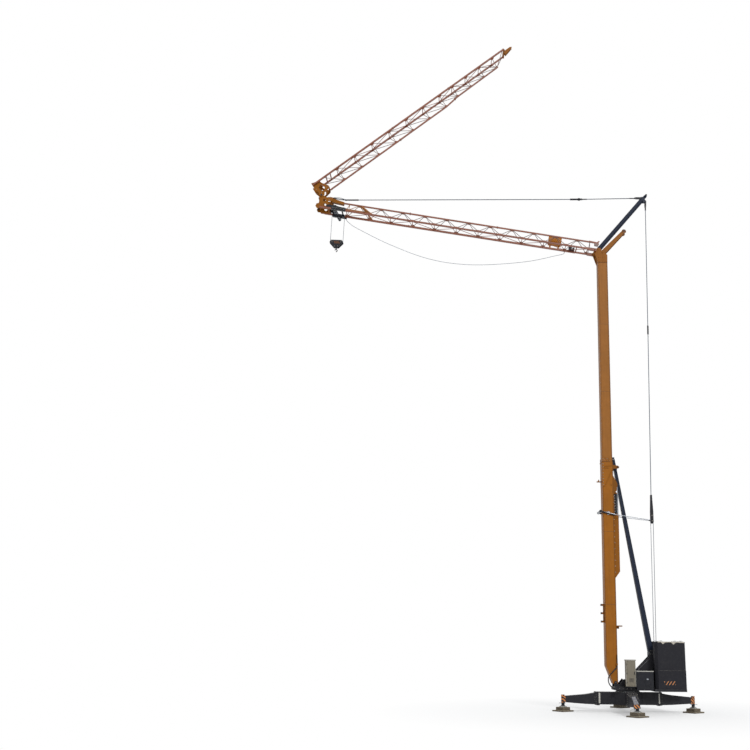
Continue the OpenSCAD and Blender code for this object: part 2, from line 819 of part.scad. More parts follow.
module head_strut() {
    a = strut_foot;
    b = strut_tip;
    t = (b - a) / norm(b - a);
    color(dark)
        difference() {
            union() {
                bar(a + t * 150, b - t * 200, strut_r, 32);
                bar(a - t * 70, a + t * 160, 70, 32);
                both_sides()
                    plate([for (p = [[-220, -210], [-60, -300], [60, -290], [135, -270], [140, -190],
                                [60, -120], [90, 20], [175, 70], [175, 170], [90, 190], [10, 120],
                                [-60, 50], [-150, 45], [-180, 0], [-165, -60]])
                            [b[0] + p[0], b[2] + p[1]]],
                        tip_y, tip_y + plate_t);
                cross_pin(b[0] + 120, b[2] + 125, 45, -tip_y - 120, tip_y + 120);
                for (at = [pendant_pin, stay_pin])
                    cross_pin(at[0], at[2], eye_pin_r, -tip_y - plate_t - 10, tip_y + plate_t + 10);
            }
            cross_pin(a[0], a[2], 34 + pin_gap, -110, 110);
        }
}

module head_arm() {
    a = arm_foot;
    b = arm_tip;
    lean = atan2(b[0] - a[0], b[2] - a[2]);
    long = norm(b - a);
    color(paint)
        translate(a)
            rotate([0, lean, 0])
                difference() {
                    both_sides() {
                        plate([[-125, -60], [125, -60], [125, 260], [85, long], [-85, long], [-125, 260]],
                            150, 170);
                        cross_pin(0, long, 85, 150, 170);
                    }
                    cross_pin(0, 0, 30 + pin_gap, -171, 171);
                }
    color(paint)
        cross_pin(b[0], b[2], 45, -175, 175);
}

// Tie bar over the jib, bent by its own weight at the turnbuckle, with its links to the fork
module pendant() {
    a = pendant_end;
    b = pendant_pin;
    m = b - (b - a) / norm(b - a) * pendant_joint - [0, 0, pendant_sag];
    ta = (m - a) / norm(m - a);
    tb = (b - m) / norm(b - m);
    link = (a - fork_pin) / norm(a - fork_pin);
    color("lightslategray") {
        bar(a + ta * 690, m - ta * 480, pendant_r, 16);
        bar(m + tb * 430, b - tb * 650, pendant_r, 16);
    }
    color("black") {
        bar(a + ta * 20, a + ta * 700, pendant_r + 14, 12);
        bar(m - ta * 490, m, pendant_r + 26, 12);
        bar(m, m + tb * 180, pendant_r + 26, 12);
        bar(m - ta * 55, m + ta * 55, pendant_r + 50, 12);
        bar(m + tb * 170, m + tb * 440, pendant_r + 8, 12);
        bar(b - tb * 660, b - tb * 300, pendant_r + 6, 12);
        bar(b - tb * 310, b - tb * 36, pendant_r + 16, 12);
        eye(b, eye_r, eye_pin_r, eye_y);
        cross_pin(a[0], a[2], 30, -56, 56);
        cross_pin(fork_pin[0], fork_pin[2], eye_pin_r, -56, 56);
        both_sides()
            bar(fork_pin + [0, 47, 0] - link * 25, a + [0, 47, 0] + link * 25, 16, 8);
    }
}

// Bottom chord of one side of the inner jib, with the ledge that the trolley runs on
module jib_chord(side) {
    y = side * jib_w / 2;
    in_jib() {
        block([-jib_end, y - chord_w / 2, -chord_w / 2], [-110, y + chord_w / 2, chord_w / 2]);
        block([-jib_end + 200, min(y, y + side * (chord_w / 2 + rail_w)), rail_low],
            [-jib_first - 600, max(y, y + side * (chord_w / 2 + rail_w)), rail_low + rail_t]);
    }
}

// Half of the space over the bottom chords, on one side of the middle plane
module half_space(side, long, high) {
    block([-long, min(0, side * 1000), -100], [200, max(0, side * 1000), high]);
}

// Bracing of one side of the inner jib, with the heavy brace near its end
module jib_bracing(side) {
    y = side * (jib_w / 2 - 8);
    in_jib()
        intersection() {
            union() {
                for (k = [0 : jib_bays - 1]) {
                    low1 = jib_local(jib_first + k * jib_bay, y, 10);
                    low2 = jib_local(jib_first + (k + 1) * jib_bay, y, 10);
                    high = jib_local(jib_first + (k + 0.5) * jib_bay, 0, jib_h);
                    bar(low1, high, brace_r);
                    bar(high, low2, brace_r);
                }
                bar(jib_local(jib_last, y, 10), jib_local(jib_last - 60, 0, jib_h), brace_r);
                bar(jib_local(jib_first - 100, y, 10), jib_local(290, 0, jib_h), brace_r);
                bar(jib_local(pivot_along - 2870, y, 15), jib_local(pivot_along - 2170, 0, jib_h), 52, 4);
            }
            half_space(side, pivot_along, jib_h);
        }
}

// Top chord of the inner jib, with the hooked bracket at its root
module jib_top_chord() {
    in_jib() {
        block([-fork_start, -top_w / 2, jib_h - top_w / 2], [-130, top_w / 2, jib_h + top_w / 2]);
        plate([[-330, jib_h - 30], [-40, jib_h - 30], [-20, jib_h - 190], [190, jib_h - 190],
            [230, jib_h - 50], [180, jib_h + 10], [240, jib_h + 110], [190, jib_h + 130],
            [90, jib_h + 30], [-80, jib_h + 45], [-330, jib_h + 60]], -top_w / 2 - 10, top_w / 2 + 10);
    }
}

// Beam between the heavy braces that carries the rope guide
module jib_mid_beam() {
    s = pivot_along;
    in_jib() {
        block([-s + 1430, -50, 155], [-s + 2600, 50, 270]);
        block([-s + 2585, -225, 180], [-s + 2665, 225, 240]);
    }
}

module jib_near_side() {
    color(paint) {
        jib_mid_beam();
        jib_chord(-1);
        jib_bracing(-1);
        jib_top_chord();
        root_lug(-1);
    }
}

// Lug at the root of a bottom chord, bored for the root pin
module root_lug(side) {
    y1 = mast_up_d / 2 + plate_t + 8;
    y2 = jib_w / 2 + chord_w / 2;
    in_jib()
        difference() {
            block([-330, side > 0 ? y1 : -y2, -70], [75, side > 0 ? y2 : -y1, 70]);
            cross_pin(0, 0, 30 + pin_gap, -y2 - 1, y2 + 1);
        }
}

module jib_far_side() {
    color(paint)
        difference() {
            union() {
                jib_chord(1);
                jib_bracing(1);
                root_lug(1);
                rope_arms();
            }
            jib_top_chord();
            jib_mid_beam();
        }
}

// Small arms on the far bottom chord that hold the ends of the slack rope
module rope_arms() {
    end_y = rope_y + 25;
    in_jib() {
        block([-rope_s1 - 20, jib_w / 2, 0], [-rope_s1 + 20, jib_w / 2 + 30, 130]);
        block([-rope_s1 - 20, jib_w / 2, 110], [-rope_s1 + 20, end_y, 130]);
        block([-rope_s2 - 20, jib_w / 2, -20], [-rope_s2 + 20, end_y, 0]);
    }
}

// Bracing between the bottom chords
module jib_bottom() {
    y = jib_w / 2 - chord_w / 2;
    color(paint)
        in_jib() {
            for (k = [1 : jib_bays]) {
                s = jib_first + k * jib_bay;
                bar(jib_local(s, -y, 0), jib_local(s, y, 0), brace_r + 3);
            }
            for (s = [jib_first, jib_first + jib_bay / 2])
                bar(jib_local(s, -y, 0), jib_local(s, y, 0), 30, 8);
            for (k = [0 : jib_bays - 1]) {
                s = jib_first + k * jib_bay;
                side = k % 2 == 0 ? 1 : -1;
                bar(jib_local(s, -side * (y - 25), 0), jib_local(s + jib_bay, side * (y - 25), 0), brace_r);
            }
        }
}

// Box over the far bottom chord of the inner jib, on two legs
module jib_box() {
    s1 = 1810;
    s2 = 2530;
    y = jib_w / 2 - 90;
    color(paint)
        in_jib() {
            block([-s2, y, 210], [-s1, y + 190, 740]);
            for (s = [s1 + 130, s2 - 130])
                block([-s - 45, y + 60, chord_w / 2], [-s + 45, y + 115, 210]);
        }
}

// Drum and motor that pull the trolley, beside the far bottom chord
module trolley_winch() {
    y = jib_w / 2 - chord_w / 2;
    drum_s = 1290;
    color("black")
        in_jib() {
            block([-drum_s - 60, 80, 24], [-drum_s + 240, y, 36]);
            cross_pin(-drum_s, 125, 85, 100, y - 20);
            for (edge = [95, y - 20])
                block([-drum_s - 40, edge, 36], [-drum_s + 40, edge + 12, 140]);
            block([-drum_s + 120, 110, 36], [-drum_s + 230, y - 30, 150]);
        }
}

// Guide for the hoist rope at the end of the inner jib, between the chords
module rope_guide() {
    s = pivot_along;
    color("black")
        in_jib() {
            both_sides()
                plate([[-s + 640, 250], [-s + 1000, 190], [-s + 1500, 180], [-s + 1500, 240],
                    [-s + 1430, 290], [-s + 1000, 330], [-s + 640, 390]], 50, 62);
            for (at = [[-s + 790, 300], [-s + 1270, 230]]) {
                cross_pin(at[0], at[1], 95, -40, 40);
                cross_pin(at[0], at[1], 20, -62, 62);
            }
        }
}

// Fork at the end of the inner jib that carries the folding pivot
module fold_fork() {
    s = pivot_along;
    y = jib_w / 2 - chord_w / 2;
    color(paint)
        difference() {
            union() {
                in_jib() {
                    both_sides()
                        plate([[-s + 640, 500], [-s + 640, 700], [-s + 500, pivot_up - 10],
                                [-s + 300, pivot_up - 70], [-s + 150, pivot_up - 30],
                                [-s + 60, pivot_up + 70], [-s - 90, pivot_up + 60],
                                [-s - 120, pivot_up - 60], [-s - 60, 420], [-s - 60, 260], [-s - 180, 200],
                                [-s - 200, 60], [-s - 120, -45], [-s + 560, -45], [-s + 600, 0],
                                [-s + 560, 60], [-s + 480, 200], [-s + 420, 460]],
                            fork_in, fork_out);
                    fork_beams();
                    both_sides()
                        block([-s + 80, fork_out, -30], [-s + 560, y, 30]);
                    cross_pin(-s, pivot_up, pivot_r, -cheek_out - 25, cheek_out + 25);
                }
            }
            in_jib()
                both_sides() {
                    cross_pin(-s + 280, 190, 88, fork_in - 1, fork_out + 1);
                    cross_pin(-s + 210, 470, 75, fork_in - 1, fork_out + 1);
                }
            cross_pin(fork_pin[0], fork_pin[2], eye_pin_r + pin_gap, -101, 101);
        }
}

// Arm from the top chord to the fork, its lug for the tie bar, and the beams between the fork's plates
module fork_beams() {
    s = pivot_along;
    plate([[-fork_start, jib_h - 110], [-fork_start, jib_h + 40], [-s + 560, pivot_up + 10],
        [-s + 500, 560], [-s + 560, 520]], -95, 95);
    plate([[-s + 760, 640], [-s + 700, pivot_up + 90], [-s + 580, pivot_up + 90],
        [-s + 500, 640]], -25, 25);
    block([-s + 500, -fork_in, 560], [-s + 560, fork_in, 690]);
    block([-s + 500, -fork_in, -45], [-s + 540, fork_in, 45]);
    block([-s + 20, -fork_in, 60], [-s + 60, fork_in, 330]);
    block([-s + 560, -62, 240], [-s + 640, 62, 400]);
    block([-s + 540, -62, 240], [-s + 560, 62, 560]);
}

module fold_cheeks() {
    color(paint)
        in_outer_jib()
            difference() {
                union() {
                    both_sides()
                        plate([[0, -170], [-330, -60], [-430, -40], [-460, 170], [-530, 320], [-640, 480],
                                [-640, outer_h - 40], [-540, outer_h], [-240, outer_h + 50],
                                [-130, pivot_up + 90], [-30, pivot_up + 110], [90, pivot_up + 60],
                                [90, pivot_up - 60], [20, 500], [60, 200]],
                            cheek_in, cheek_out);
                    block([-440, -outer_in, -chord_w / 2], [-400, outer_in, 160]);
                    both_sides()
                        block([-330, cheek_out - 1, -30], [-60, outer_in, 30]);
                    block([-640, -cheek_in, outer_h - 140], [-600, cheek_in, outer_h - top_w / 2 - 1]);
                }
                both_sides() {
                    cross_pin(0, pivot_up, pivot_r + pin_gap, cheek_in - 1, cheek_out + 1);
                    plate([[-150, 300], [-350, 200], [-420, 290], [-430, 480], [-330, 590], [-170, 570]],
                        cheek_in - 1, cheek_out + 1);
                }
            }
}

// Height of the outer jib's top chord at a place along it
function outer_top(s) =
    s <= outer_bend ? outer_h
    : s <= outer_low_first
        ? outer_h + (outer_low_h - outer_h) * (s - outer_bend) / outer_bend_l
        : outer_low_h - 40 * (s - outer_low_first) / (outer_last - outer_low_first);

// Places of the outer jib's upright bracing
OUTER_POSTS = concat(
    [for (k = [0 : outer_bays]) outer_first + k * outer_bay],
    [for (k = [0 : outer_low_bays]) outer_low_first + k * outer_low_bay]);

module outer_chord(side) {
    y = side * outer_w / 2;
    block([-outer_end, y - chord_w / 2, -chord_w / 2], [-10, y + chord_w / 2, chord_w / 2]);
}

module outer_bracing(side) {
    y = side * (outer_w / 2 - 8);
    last = len(OUTER_POSTS) - 1;
    intersection() {
        union() {
            for (i = [1 : last]) {
                s = OUTER_POSTS[i];
                bar(jib_local(s, y, 10), jib_local(s, 0, outer_top(s)), brace_r);
            }
            for (i = [1 : last - 1]) {
                s = OUTER_POSTS[i];
                t = OUTER_POSTS[i + 1];
                bar(jib_local(s, y, 10), jib_local(t, 0, outer_top(t)), brace_r);
            }
            bar(jib_local(OUTER_POSTS[0] + 320, y, 10), jib_local(OUTER_POSTS[1], 0, outer_h), brace_r);
            bar(jib_local(outer_last, 0, outer_top(outer_last)), jib_local(outer_end - 100, y, 10),
                brace_r);
        }
        half_space(side, outer_end, outer_h);
    }
}

// Top chord of the outer jib: a deep part, a bend and a shallow part
module outer_top_chord(grow) {
    w = top_w / 2 + grow;
    plate([[-620, outer_h - w], [-outer_bend, outer_h - w], [-outer_low_first, outer_low_h - w],
            [-outer_last - 60, outer_low_h - 40 - w], [-outer_last - 60, outer_low_h - 40 + w],
            [-outer_low_first, outer_low_h + w], [-outer_bend, outer_h + w], [-620, outer_h + w]],
        -w, w);
}

module outer_near_side() {
    color(paint)
        in_outer_jib() {
            outer_chord(-1);
            outer_bracing(-1);
            outer_top_chord(0);
        }
}

module outer_far_side() {
    color(paint)
        in_outer_jib()
            difference() {
                union() {
                    outer_chord(1);
                    outer_bracing(1);
                }
                outer_top_chord(0);
            }
}

// Bracing between the bottom chords of the outer jib
module outer_bottom() {
    y = outer_in;
    last = len(OUTER_POSTS) - 1;
    color(paint)
        in_outer_jib() {
            for (i = [1 : last]) {
                s = OUTER_POSTS[i];
                bar(jib_local(s, -y, 0), jib_local(s, y, 0), brace_r + 3);
            }
            for (s = [outer_first + 480, outer_first + 760])
                bar(jib_local(s, -y, 0), jib_local(s, y, 0), 34, 8);
            for (i = [1 : last - 1]) {
                side = i % 2 == 0 ? 1 : -1;
                bar(jib_local(OUTER_POSTS[i], -side * (y - 25), 0),
                    jib_local(OUTER_POSTS[i + 1], side * (y - 25), 0), brace_r);
            }
        }
}

// Plates and cross bar at the tip of the outer jib
module outer_tip() {
    y = outer_w / 2 + chord_w / 2;
    color(paint)
        in_outer_jib() {
            block([-outer_end - 30, -y, -45], [-outer_end, y, 90]);
            both_sides()
                plate([[-outer_end - 30, -45], [-outer_l + 80, -45], [-outer_l, 0], [-outer_l, 60],
                    [-outer_end - 30, 200]], 60, 80);
            block([-outer_l + 40, -60, -30], [-outer_l + 80, 60, 40]);
        }
}

// Local place of the trolley's middle
module in_trolley() {
    in_jib()
        translate([-trolley_along, 0, 0])
            children();
}

module trolley() {
    half = trolley_l / 2;
    color(dark)
        in_trolley() {
            both_sides() {
                block([-half, side_y, side_low], [half, side_y + side_t, 60]);
                for (x = [-half + 90, half - 90]) {
                    cross_pin(x, wheel_n, wheel_r, wheel_y, wheel_y + wheel_w);
                    cross_pin(x, wheel_n, 15, wheel_y, side_y + side_t + 8);
                }
                plate([[-half + 60, trolley_low + 30], [half - 60, trolley_low + 30],
                    [half - 60, side_low + 20], [-half + 60, side_low + 20]], 50, 62);
            }
            for (x = [-half + 130, half - 190])
                block([x, -side_y, side_low], [x + 60, side_y, side_low + 60]);
            translate((lever_a + lever_b) / 2)
                rotate([0, asin((lever_a[2] - lever_b[2]) / norm(lever_b - lever_a)),
                        atan2(lever_b[1] - lever_a[1], lever_b[0] - lever_a[0])])
                    cube([norm(lever_b - lever_a), lever_w, 60], center = true);
        }
    color("gray")
        for (side = [-1, 1])
            sheave(fall_x(side));
}

// Middle of a sheave over one fall of rope
function fall_x(side) = jib_point(trolley_along, 0, trolley_low)[0] + side * (fall_gap / 2 - sheave_r * 0.5);
function fall_top() = jib_point(trolley_along, 0, trolley_low)[2] + 70;

module sheave(x) {
    cross_pin(x, fall_top(), sheave_r * 0.5, -35, 35);
    cross_pin(x, fall_top(), 18, -56, 56);
}

module hoist_falls() {
    x = jib_point(trolley_along, 0, trolley_low)[0];
    top = fall_top();
    color("lightslategray")
        for (side = [-1, 1])
            translate([x + side * (fall_gap / 2 + fall_r), 0, hook_top_z - 120])
                cylinder(h = top - hook_top_z + 120, r = fall_r, $fn = 16);
}

module hook_block() {
    x = jib_point(trolley_along, 0, trolley_low)[0];
    z = hook_top_z;
    w = fall_gap / 2;
    color(dark) {
        both_sides()
            plate([[x - w + 40, z], [x + w - 40, z], [x + w + 45, z - 140], [x + 125, z - hook_h],
                    [x - 125, z - hook_h], [x - w - 45, z - 140]], hook_t / 2 - 30, hook_t / 2);
        block([x - w + 60, -hook_t / 2 + 30, z - 30], [x + w - 60, hook_t / 2 - 30, z]);
        block([x - 80, -hook_t / 2 + 30, z - hook_h], [x + 80, hook_t / 2 - 30, z - hook_h + 80]);
        for (side = [-1, 1]) {
            cross_pin(x + side * (w - sheave_r / 2 - seat_gap), z - 120, sheave_r / 2, -30, 30);
            cross_pin(x + side * (w - sheave_r / 2 - seat_gap), z - 120, 18, -hook_t / 2, hook_t / 2);
        }
    }
}

module hook() {
    x = jib_point(trolley_along, 0, trolley_low)[0];
    z = hook_top_z - hook_h;
    bowl = 62;
    color("gray") {
        translate([x, 0, z - 110])
            cylinder(h = 110 - seat_gap, r = 26);
        translate([x, 0, z - 110 - bowl])
            rotate([90, 90, 0])
                rotate_extrude(angle = 250)
                    translate([bowl, 0])
                        circle(r = 24);
    }
}

module slack_rope() {
    color("lightslategray")
        tube(SLACK, slack_r);
}

module mast_hose() {
    color("black")
        tube(HOSE, hose_r, 10);
}

chassis_cross();
outrigger_arms();
jack_left();
jack_front();
jack_right();
jack_rear();
pad_left();
pad_front();
pad_right();
pad_rear();
slew_ring_lower();
slew_ring_upper();
platform();
mast_foot_bracket();
electric_cabinet();
machinery_box();
hoist_winch();
erection_winch();
ballast_lower();
ballast_upper();
rear_post();
mast_lower();
mast_upper();
mast_fittings();
mast_rear_rail();
rear_strut();
guide_bar();
rope_block();
back_stay();
head_plates();
head_strut();
head_arm();
pendant();
jib_near_side();
jib_far_side();
jib_bottom();
jib_box();
trolley_winch();
rope_guide();
fold_fork();
slack_rope();
mast_hose();
fold_cheeks();
outer_near_side();
outer_far_side();
outer_bottom();
outer_tip();
trolley();
hoist_falls();
hook_block();
hook();
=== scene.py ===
# Finishes and fittings of a self-erecting tower crane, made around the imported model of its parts.
# Lengths are in metres. The crane's own frame has +Z up, and the jib points to -X.
import json
import math
import random

import bmesh
import bpy
from bpy.props import FloatProperty, FloatVectorProperty, IntProperty, PointerProperty
from mathutils import Euler, Matrix, Vector


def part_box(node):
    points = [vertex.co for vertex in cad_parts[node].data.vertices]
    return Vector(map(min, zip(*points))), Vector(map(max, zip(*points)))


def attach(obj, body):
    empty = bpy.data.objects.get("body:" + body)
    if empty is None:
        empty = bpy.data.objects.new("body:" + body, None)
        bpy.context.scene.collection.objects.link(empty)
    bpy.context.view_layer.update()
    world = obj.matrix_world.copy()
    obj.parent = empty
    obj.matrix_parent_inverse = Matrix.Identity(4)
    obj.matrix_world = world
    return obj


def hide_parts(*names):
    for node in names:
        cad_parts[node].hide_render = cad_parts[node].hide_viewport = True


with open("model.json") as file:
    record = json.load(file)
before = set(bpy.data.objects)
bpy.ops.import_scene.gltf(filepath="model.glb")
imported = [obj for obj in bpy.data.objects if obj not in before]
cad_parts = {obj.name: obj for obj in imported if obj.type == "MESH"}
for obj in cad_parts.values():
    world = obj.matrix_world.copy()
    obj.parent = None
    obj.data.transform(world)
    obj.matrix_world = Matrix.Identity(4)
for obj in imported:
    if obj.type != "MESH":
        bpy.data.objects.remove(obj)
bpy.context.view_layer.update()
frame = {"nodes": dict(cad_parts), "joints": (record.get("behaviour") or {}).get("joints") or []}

bl_info = {
    "name": "Tower Crane Fittings",
    "version": (1, 0, 0),
    "blender": (4, 5, 0),
    "location": "View3D > Sidebar > Crane",
    "description": "Paints and fittings of a self-erecting tower crane",
    "category": "Object",
}

NONE = Matrix.Identity(4)
JOINTS = {joint["name"]: joint for joint in frame["joints"]}

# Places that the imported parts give
PIVOT = Vector(JOINTS["jib_fold"]["pos_m"])
FOLD = math.radians(JOINTS["jib_fold"]["range_deg"][1])
TROLLEY_AXIS = Vector(JOINTS["trolley_travel"]["axis"])
JIB_RISE = math.atan2(-TROLLEY_AXIS.z, TROLLEY_AXIS.x)
PIVOT_ALONG = 15.07
PIVOT_UP = 0.73
TROLLEY_ALONG = -13.99
JIB = (Matrix.Translation(PIVOT) @ Matrix.Rotation(JIB_RISE, 4, "Y")
       @ Matrix.Translation((PIVOT_ALONG, 0, -PIVOT_UP)))
OUTER = (Matrix.Translation(PIVOT) @ Matrix.Rotation(JIB_RISE + FOLD, 4, "Y")
         @ Matrix.Translation((0, 0, -PIVOT_UP)))
CHASSIS_TURN = math.radians(-3.5)
JACK_REACH = 3.07
FLANGE_REACH = 1.55
MAST_FRONT, MAST_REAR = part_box("mast_lower")[0][0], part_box("mast_lower")[1][0]
MAST_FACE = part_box("mast_lower")[0][1]
HEAD_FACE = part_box("mast_upper")[0][1]
DECK_LOW, DECK_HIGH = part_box("platform")
BALLAST_LOW, BALLAST_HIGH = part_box("ballast_lower")[0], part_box("ballast_upper")[1]
ARMS = {"right": 0, "rear": 1, "left": 2, "front": 3}

# Route of the slack rope under the inner jib
SLACK = [
    (-14.768, 0.5, 25.417), (-14.776, 0.5, 25.357), (-14.773, 0.5, 25.291), (-14.750, 0.5, 25.212),
    (-14.690, 0.5, 25.112), (-14.580, 0.5, 25.000), (-14.400, 0.5, 24.860), (-14.170, 0.5, 24.716),
    (-13.600, 0.5, 24.420), (-13.050, 0.5, 24.140), (-12.500, 0.5, 23.880), (-11.900, 0.5, 23.630),
    (-11.250, 0.5, 23.370), (-10.600, 0.5, 23.150), (-9.950, 0.5, 22.980), (-9.300, 0.5, 22.860),
    (-8.600, 0.5, 22.790), (-7.900, 0.5, 22.765), (-7.200, 0.5, 22.785), (-6.500, 0.5, 22.840),
    (-5.800, 0.5, 22.920), (-5.150, 0.5, 23.010), (-4.500, 0.5, 23.130), (-3.900, 0.5, 23.280),
    (-3.350, 0.5, 23.440), (-3.080, 0.5, 23.512), (-2.905, 0.5, 23.560), (-2.820, 0.5, 23.592),
    (-2.775, 0.5, 23.625), (-2.754, 0.5, 23.664), (-2.749, 0.5, 23.703)]

# Route of the hose at the foot of the mast
HOSE = [
    (-0.530, -0.320, 2.110), (-0.530, -0.320, 2.080), (-0.541, -0.322, 2.035),
    (-0.562, -0.323, 1.999), (-0.589, -0.325, 1.969), (-0.650, -0.330, 1.908),
    (-0.730, -0.337, 1.828), (-0.815, -0.344, 1.743), (-0.900, -0.350, 1.658),
    (-0.940, -0.352, 1.606), (-0.964, -0.353, 1.546), (-0.973, -0.353, 1.481),
    (-0.971, -0.353, 1.400), (-0.950, -0.353, 1.312), (-0.906, -0.352, 1.224),
    (-0.850, -0.351, 1.152), (-0.797, -0.350, 1.102), (-0.760, -0.350, 1.075),
    (-0.735, -0.350, 1.066), (-0.712, -0.350, 1.066)]


def linear(red, green, blue):
    """A colour as a screen shows it, as Blender's own linear one."""
    shown = (value / 255 for value in (red, green, blue))
    return tuple(v / 12.92 if v <= 0.04045 else ((v + 0.055) / 1.055) ** 2.4 for v in shown)


def colour(name, description, red, green, blue):
    return FloatVectorProperty(name=name, description=description, subtype="COLOR", size=3,
                               min=0, max=1, default=linear(red, green, blue))


def length(name, description, default):
    return FloatProperty(name=name, description=description, default=default, min=0,
                         unit="LENGTH", subtype="DISTANCE", precision=4)


class CraneColours(bpy.types.PropertyGroup):
    mast: colour("Mast", "Orange brown paint of the mast and its head", 140, 85, 20)
    jib: colour("Jib", "Paint of the lattice jib", 122, 64, 38)
    bracing: colour("Bracing", "Paint of the thin bracing tubes", 112, 88, 80)
    slate: colour("Slate", "Paint of the chassis and the deck", 31, 31, 36)
    dark: colour("Dark", "Paint of the struts, the trolley and the machinery", 24, 25, 31)
    ballast: colour("Ballast", "Paint of the ballast blocks", 32, 32, 37)
    cabinet: colour("Cabinet", "Powder coat of the electric cabinet", 110, 103, 88)
    trim: colour("Trim", "Light grey trim and plates", 176, 174, 166)
    stripe: colour("Stripe", "Orange of the hazard stripes", 192, 124, 72)
    timber: colour("Timber", "Weathered boards and blocks", 124, 112, 92)
    rope: colour("Rope", "Galvanised wire rope", 112, 122, 136)
    rubber: colour("Rubber", "Rubber of the hose and seals", 20, 17, 17)
    steel: colour("Steel", "Bare machined steel", 128, 130, 132)
    dust: colour("Dust", "Dust that settles on surfaces that face up", 150, 146, 136)


class CraneSizes(bpy.types.PropertyGroup):
    bolt_radius: length("Bolt", "Radius of a bolt's hexagon head", 0.016)
    seam_radius: length("Weld seam", "Radius of a weld bead", 0.006)
    edge_bevel: length("Edge", "Bevel of plate edges", 0.003)
    plank_gap: length("Plank gap", "Gap between the planks of a board", 0.008)
    stripe_width: length("Stripe", "Width of a hazard stripe", 0.075)
    rope_radius: length("Slack rope", "Radius of the slack rope", 0.012)
    hose_radius: length("Hose", "Radius of the hose at the mast's foot", 0.026)
    ring_bolts: IntProperty(name="Ring bolts", description="Bolts round the slewing ring",
                            default=36, min=8, max=72)
    ring_teeth: IntProperty(name="Ring teeth", description="Teeth of the slewing ring",
                            default=96, min=40, max=160)


class CraneStage(bpy.types.PropertyGroup):
    camera_place: FloatVectorProperty(name="Camera", description="Place of the camera",
                                      default=(-8.638, -44.288, 3.032), subtype="TRANSLATION")
    camera_pitch: FloatProperty(name="Pitch", description="Tilt of the camera above level",
                                default=0.28688, subtype="ANGLE")
    camera_yaw: FloatProperty(name="Yaw", description="Turn of the camera from +Y",
                              default=-0.05426, subtype="ANGLE")
    camera_roll: FloatProperty(name="Roll", description="Turn about the line of sight",
                               default=0.01186, subtype="ANGLE")
    camera_lens: FloatProperty(name="Lens", description="Focal length in millimetres",
                               default=42.829, min=10, max=200)
    camera_shift: FloatVectorProperty(name="Shift", description="Shift of the picture",
                                      size=2, default=(-0.16667, 0.00701))
    sky_strength: FloatProperty(name="Sky", description="Strength of the even light",
                                default=0.62, min=0, max=3)
    key_strength: FloatProperty(name="Key", description="Strength of the main lamp",
                                default=1.9, min=0, max=10)
    fill_strength: FloatProperty(name="Fill", description="Strength of the fill lamp",
                                 default=0.5, min=0, max=10)


def colours():
    return bpy.context.scene.crane_colours


def sizes():
    return bpy.context.scene.crane_sizes


# Node trees

def add(tree, kind, inputs=None, **settings):
    """A shader node with its settings and the values or links of its inputs."""
    node = tree.nodes.new("ShaderNode" + kind)
    for name, value in settings.items():
        setattr(node, name, value)
    for name, value in (inputs or {}).items():
        socket = node.inputs[name]
        if isinstance(value, bpy.types.NodeSocket):
            tree.links.new(value, socket)
        elif socket.type == "RGBA" and len(value) == 3:
            socket.default_value = (*value, 1)
        else:
            socket.default_value = value
    return node


def math_node(tree, operation, a, b=0.0, clamp=False):
    return add(tree, "Math", {0: a, 1: b}, operation=operation, use_clamp=clamp).outputs[0]


def mix_colour(tree, factor, a, b):
    node = tree.nodes.new("ShaderNodeMix")
    node.data_type = "RGBA"
    for socket, value in ((node.inputs[0], factor), (node.inputs[6], a), (node.inputs[7], b)):
        if isinstance(value, bpy.types.NodeSocket):
            tree.links.new(value, socket)
        else:
            socket.default_value = (*value, 1) if hasattr(value, "__len__") else value
    return node.outputs[2]


def ramp(tree, value, low, high, to_low=0.0, to_high=1.0):
    return add(tree, "MapRange", {"Value": value, "From Min": low, "From Max": high,
                                  "To Min": to_low, "To Max": to_high}, clamp=True).outputs[0]


def object_place(tree):
    return add(tree, "TexCoord").outputs["Object"]


def noise(tree, place, scale, detail=3.0, stretch=None, roughness=0.5):
    if stretch:
        place = add(tree, "Mapping", {"Vector": place, "Scale": stretch}).outputs[0]
    return add(tree, "TexNoise", {"Vector": place, "Scale": scale, "Detail": detail,
                                  "Roughness": roughness}).outputs["Fac"]


def shader_group(name, inputs, outputs):
    tree = bpy.data.node_groups.new(name, "ShaderNodeTree")
    for label, value in inputs:
        tree.interface.new_socket(label, in_out="INPUT", socket_type="NodeSocketFloat").default_value = value
    for label in outputs:
        tree.interface.new_socket(label, in_out="OUTPUT", socket_type="NodeSocketFloat")
    return tree, tree.nodes.new("NodeGroupInput").outputs, tree.nodes.new("NodeGroupOutput").inputs


